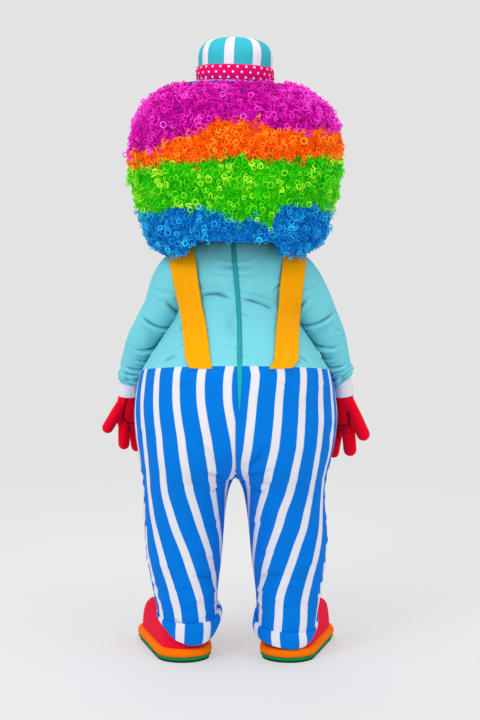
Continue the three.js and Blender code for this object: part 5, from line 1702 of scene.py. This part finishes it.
class CostumeWigSettings(PropertyGroup):
    purple: colour_setting("Purple", "Colour of the top band of curls", "de00b4")
    orange: colour_setting("Orange", "Colour of the second band of curls", "ff7200")
    green: colour_setting("Green", "Colour of the third band of curls", "38d400")
    blue: colour_setting("Blue", "Colour of the lowest band of curls", "0088d4")
    locks: IntProperty(name="Locks", description="Number of curled locks", default=7500, min=500, max=12000)
    curl_radius: size_setting("Curl Radius", "Radius of a lock's curl", 8.2, 3, 20)
    lock_thickness: size_setting("Lock Thickness", "Half the thickness of a lock", 2.1, 0.5, 5)
    # Glow is painted light: the curls and their mass give off light in their own colour, standing in for
    # light through the fine hair and lifting the shade between the locks.
    glow: depth_setting("Glow", "Light that passes through the fine hair", 0.16, 1.0)


class CostumeStageSettings(PropertyGroup):
    key: FloatProperty(name="Key Light", description="Power of the main lamp", default=95.0, min=0.0,
                       unit="POWER")
    fill: FloatProperty(name="Surroundings", description="Strength of the pale light from all round",
                        default=1.0, min=0.0, max=3.0)


class COSTUME_OT_stage(Operator):
    """Builds the pale floor, the surrounding light, the lamps and the camera"""
    bl_idname = "costume.stage"
    bl_label = "Build Stage"

    def execute(self, context):
        settings = context.scene.costume_stage
        build_stage(settings.key, settings.fill)
        return {"FINISHED"}


class COSTUME_OT_bodice(Operator):
    """Builds the bodice's two back halves and its front"""
    bl_idname = "costume.bodice"
    bl_label = "Build Bodice"

    def execute(self, context):
        build_bodice(context.scene.costume_cloth.bodice_creases)
        return {"FINISHED"}


class COSTUME_OT_sleeves(Operator):
    """Builds both sleeves and their white cuffs"""
    bl_idname = "costume.sleeves"
    bl_label = "Build Sleeves"

    def execute(self, context):
        build_sleeves(context.scene.costume_cloth.sleeve_creases)
        return {"FINISHED"}


class COSTUME_OT_trousers(Operator):
    """Builds the four striped panels of the trousers"""
    bl_idname = "costume.trousers"
    bl_label = "Build Trousers"

    def execute(self, context):
        build_trousers(context.scene.costume_cloth.trouser_creases)
        return {"FINISHED"}


class COSTUME_OT_turnups(Operator):
    """Builds the rolled turn-ups of both legs"""
    bl_idname = "costume.turnups"
    bl_label = "Build Turn-ups"

    def execute(self, context):
        build_turnups(context.scene.costume_cloth.turnup_waves)
        return {"FINISHED"}


class COSTUME_OT_zip(Operator):
    """Lays the zip's tape down the back and into the seat"""
    bl_idname = "costume.zip"
    bl_label = "Lay Zip"

    def execute(self, context):
        build_zip(context.scene.costume_cloth.zip_width / MM)
        return {"FINISHED"}


class COSTUME_OT_straps(Operator):
    """Lays both straps over the bodice and the shoulders"""
    bl_idname = "costume.straps"
    bl_label = "Lay Straps"

    def execute(self, context):
        build_straps()
        return {"FINISHED"}


class COSTUME_OT_gloves(Operator):
    """Builds both gloves"""
    bl_idname = "costume.gloves"
    bl_label = "Build Gloves"

    def execute(self, context):
        build_gloves()
        return {"FINISHED"}


class COSTUME_OT_shoes(Operator):
    """Builds both shoes: upper, padded band, welt and sole"""
    bl_idname = "costume.shoes"
    bl_label = "Build Shoes"

    def execute(self, context):
        build_shoes()
        return {"FINISHED"}


class COSTUME_OT_head(Operator):
    """Builds the hollow head and its plain face"""
    bl_idname = "costume.head"
    bl_label = "Build Head"

    def execute(self, context):
        build_head()
        return {"FINISHED"}


class COSTUME_OT_wig(Operator):
    """Builds the wig's four bands of curls"""
    bl_idname = "costume.wig"
    bl_label = "Build Wig"

    def execute(self, context):
        settings = context.scene.costume_wig
        build_wig(settings.locks, settings.curl_radius / MM, settings.lock_thickness / MM)
        return {"FINISHED"}


class COSTUME_OT_hat(Operator):
    """Builds the hat's crown, dotted band and brim"""
    bl_idname = "costume.hat"
    bl_label = "Build Hat"

    def execute(self, context):
        build_hat()
        return {"FINISHED"}


OPERATORS = (
    COSTUME_OT_stage, COSTUME_OT_bodice, COSTUME_OT_sleeves, COSTUME_OT_trousers, COSTUME_OT_turnups,
    COSTUME_OT_zip, COSTUME_OT_straps, COSTUME_OT_gloves, COSTUME_OT_shoes, COSTUME_OT_head, COSTUME_OT_wig,
    COSTUME_OT_hat,
)
SETTINGS = {
    "costume_cloth": CostumeClothSettings,
    "costume_wig": CostumeWigSettings,
    "costume_stage": CostumeStageSettings,
}


class COSTUME_PT_sidebar(Panel):
    """Sizes, colours and pieces of the costume"""
    bl_idname = "COSTUME_PT_sidebar"
    bl_label = "Costume"
    bl_space_type = "VIEW_3D"
    bl_region_type = "UI"
    bl_category = "Costume"

    def draw(self, context):
        for group, kind in SETTINGS.items():
            box = self.layout.box()
            for name in kind.__annotations__:
                box.prop(getattr(context.scene, group), name)
        for operator in OPERATORS:
            self.layout.operator(operator.bl_idname)


def register():
    for kind in (*SETTINGS.values(), *OPERATORS, COSTUME_PT_sidebar):
        bpy.utils.register_class(kind)
    for group, kind in SETTINGS.items():
        setattr(bpy.types.Scene, group, PointerProperty(type=kind))


def unregister():
    for group in SETTINGS:
        delattr(bpy.types.Scene, group)
    for kind in (COSTUME_PT_sidebar, *reversed(OPERATORS), *SETTINGS.values()):
        bpy.utils.unregister_class(kind)


def main():
    register()
    bpy.ops.costume.stage()
    bpy.ops.costume.bodice()
    bpy.ops.costume.sleeves()
    bpy.ops.costume.trousers()
    bpy.ops.costume.turnups()
    bpy.ops.costume.zip()
    bpy.ops.costume.straps()
    bpy.ops.costume.gloves()
    bpy.ops.costume.shoes()
    bpy.ops.costume.head()
    bpy.ops.costume.wig()
    bpy.ops.costume.hat()


if __name__ == "__main__":
    main()
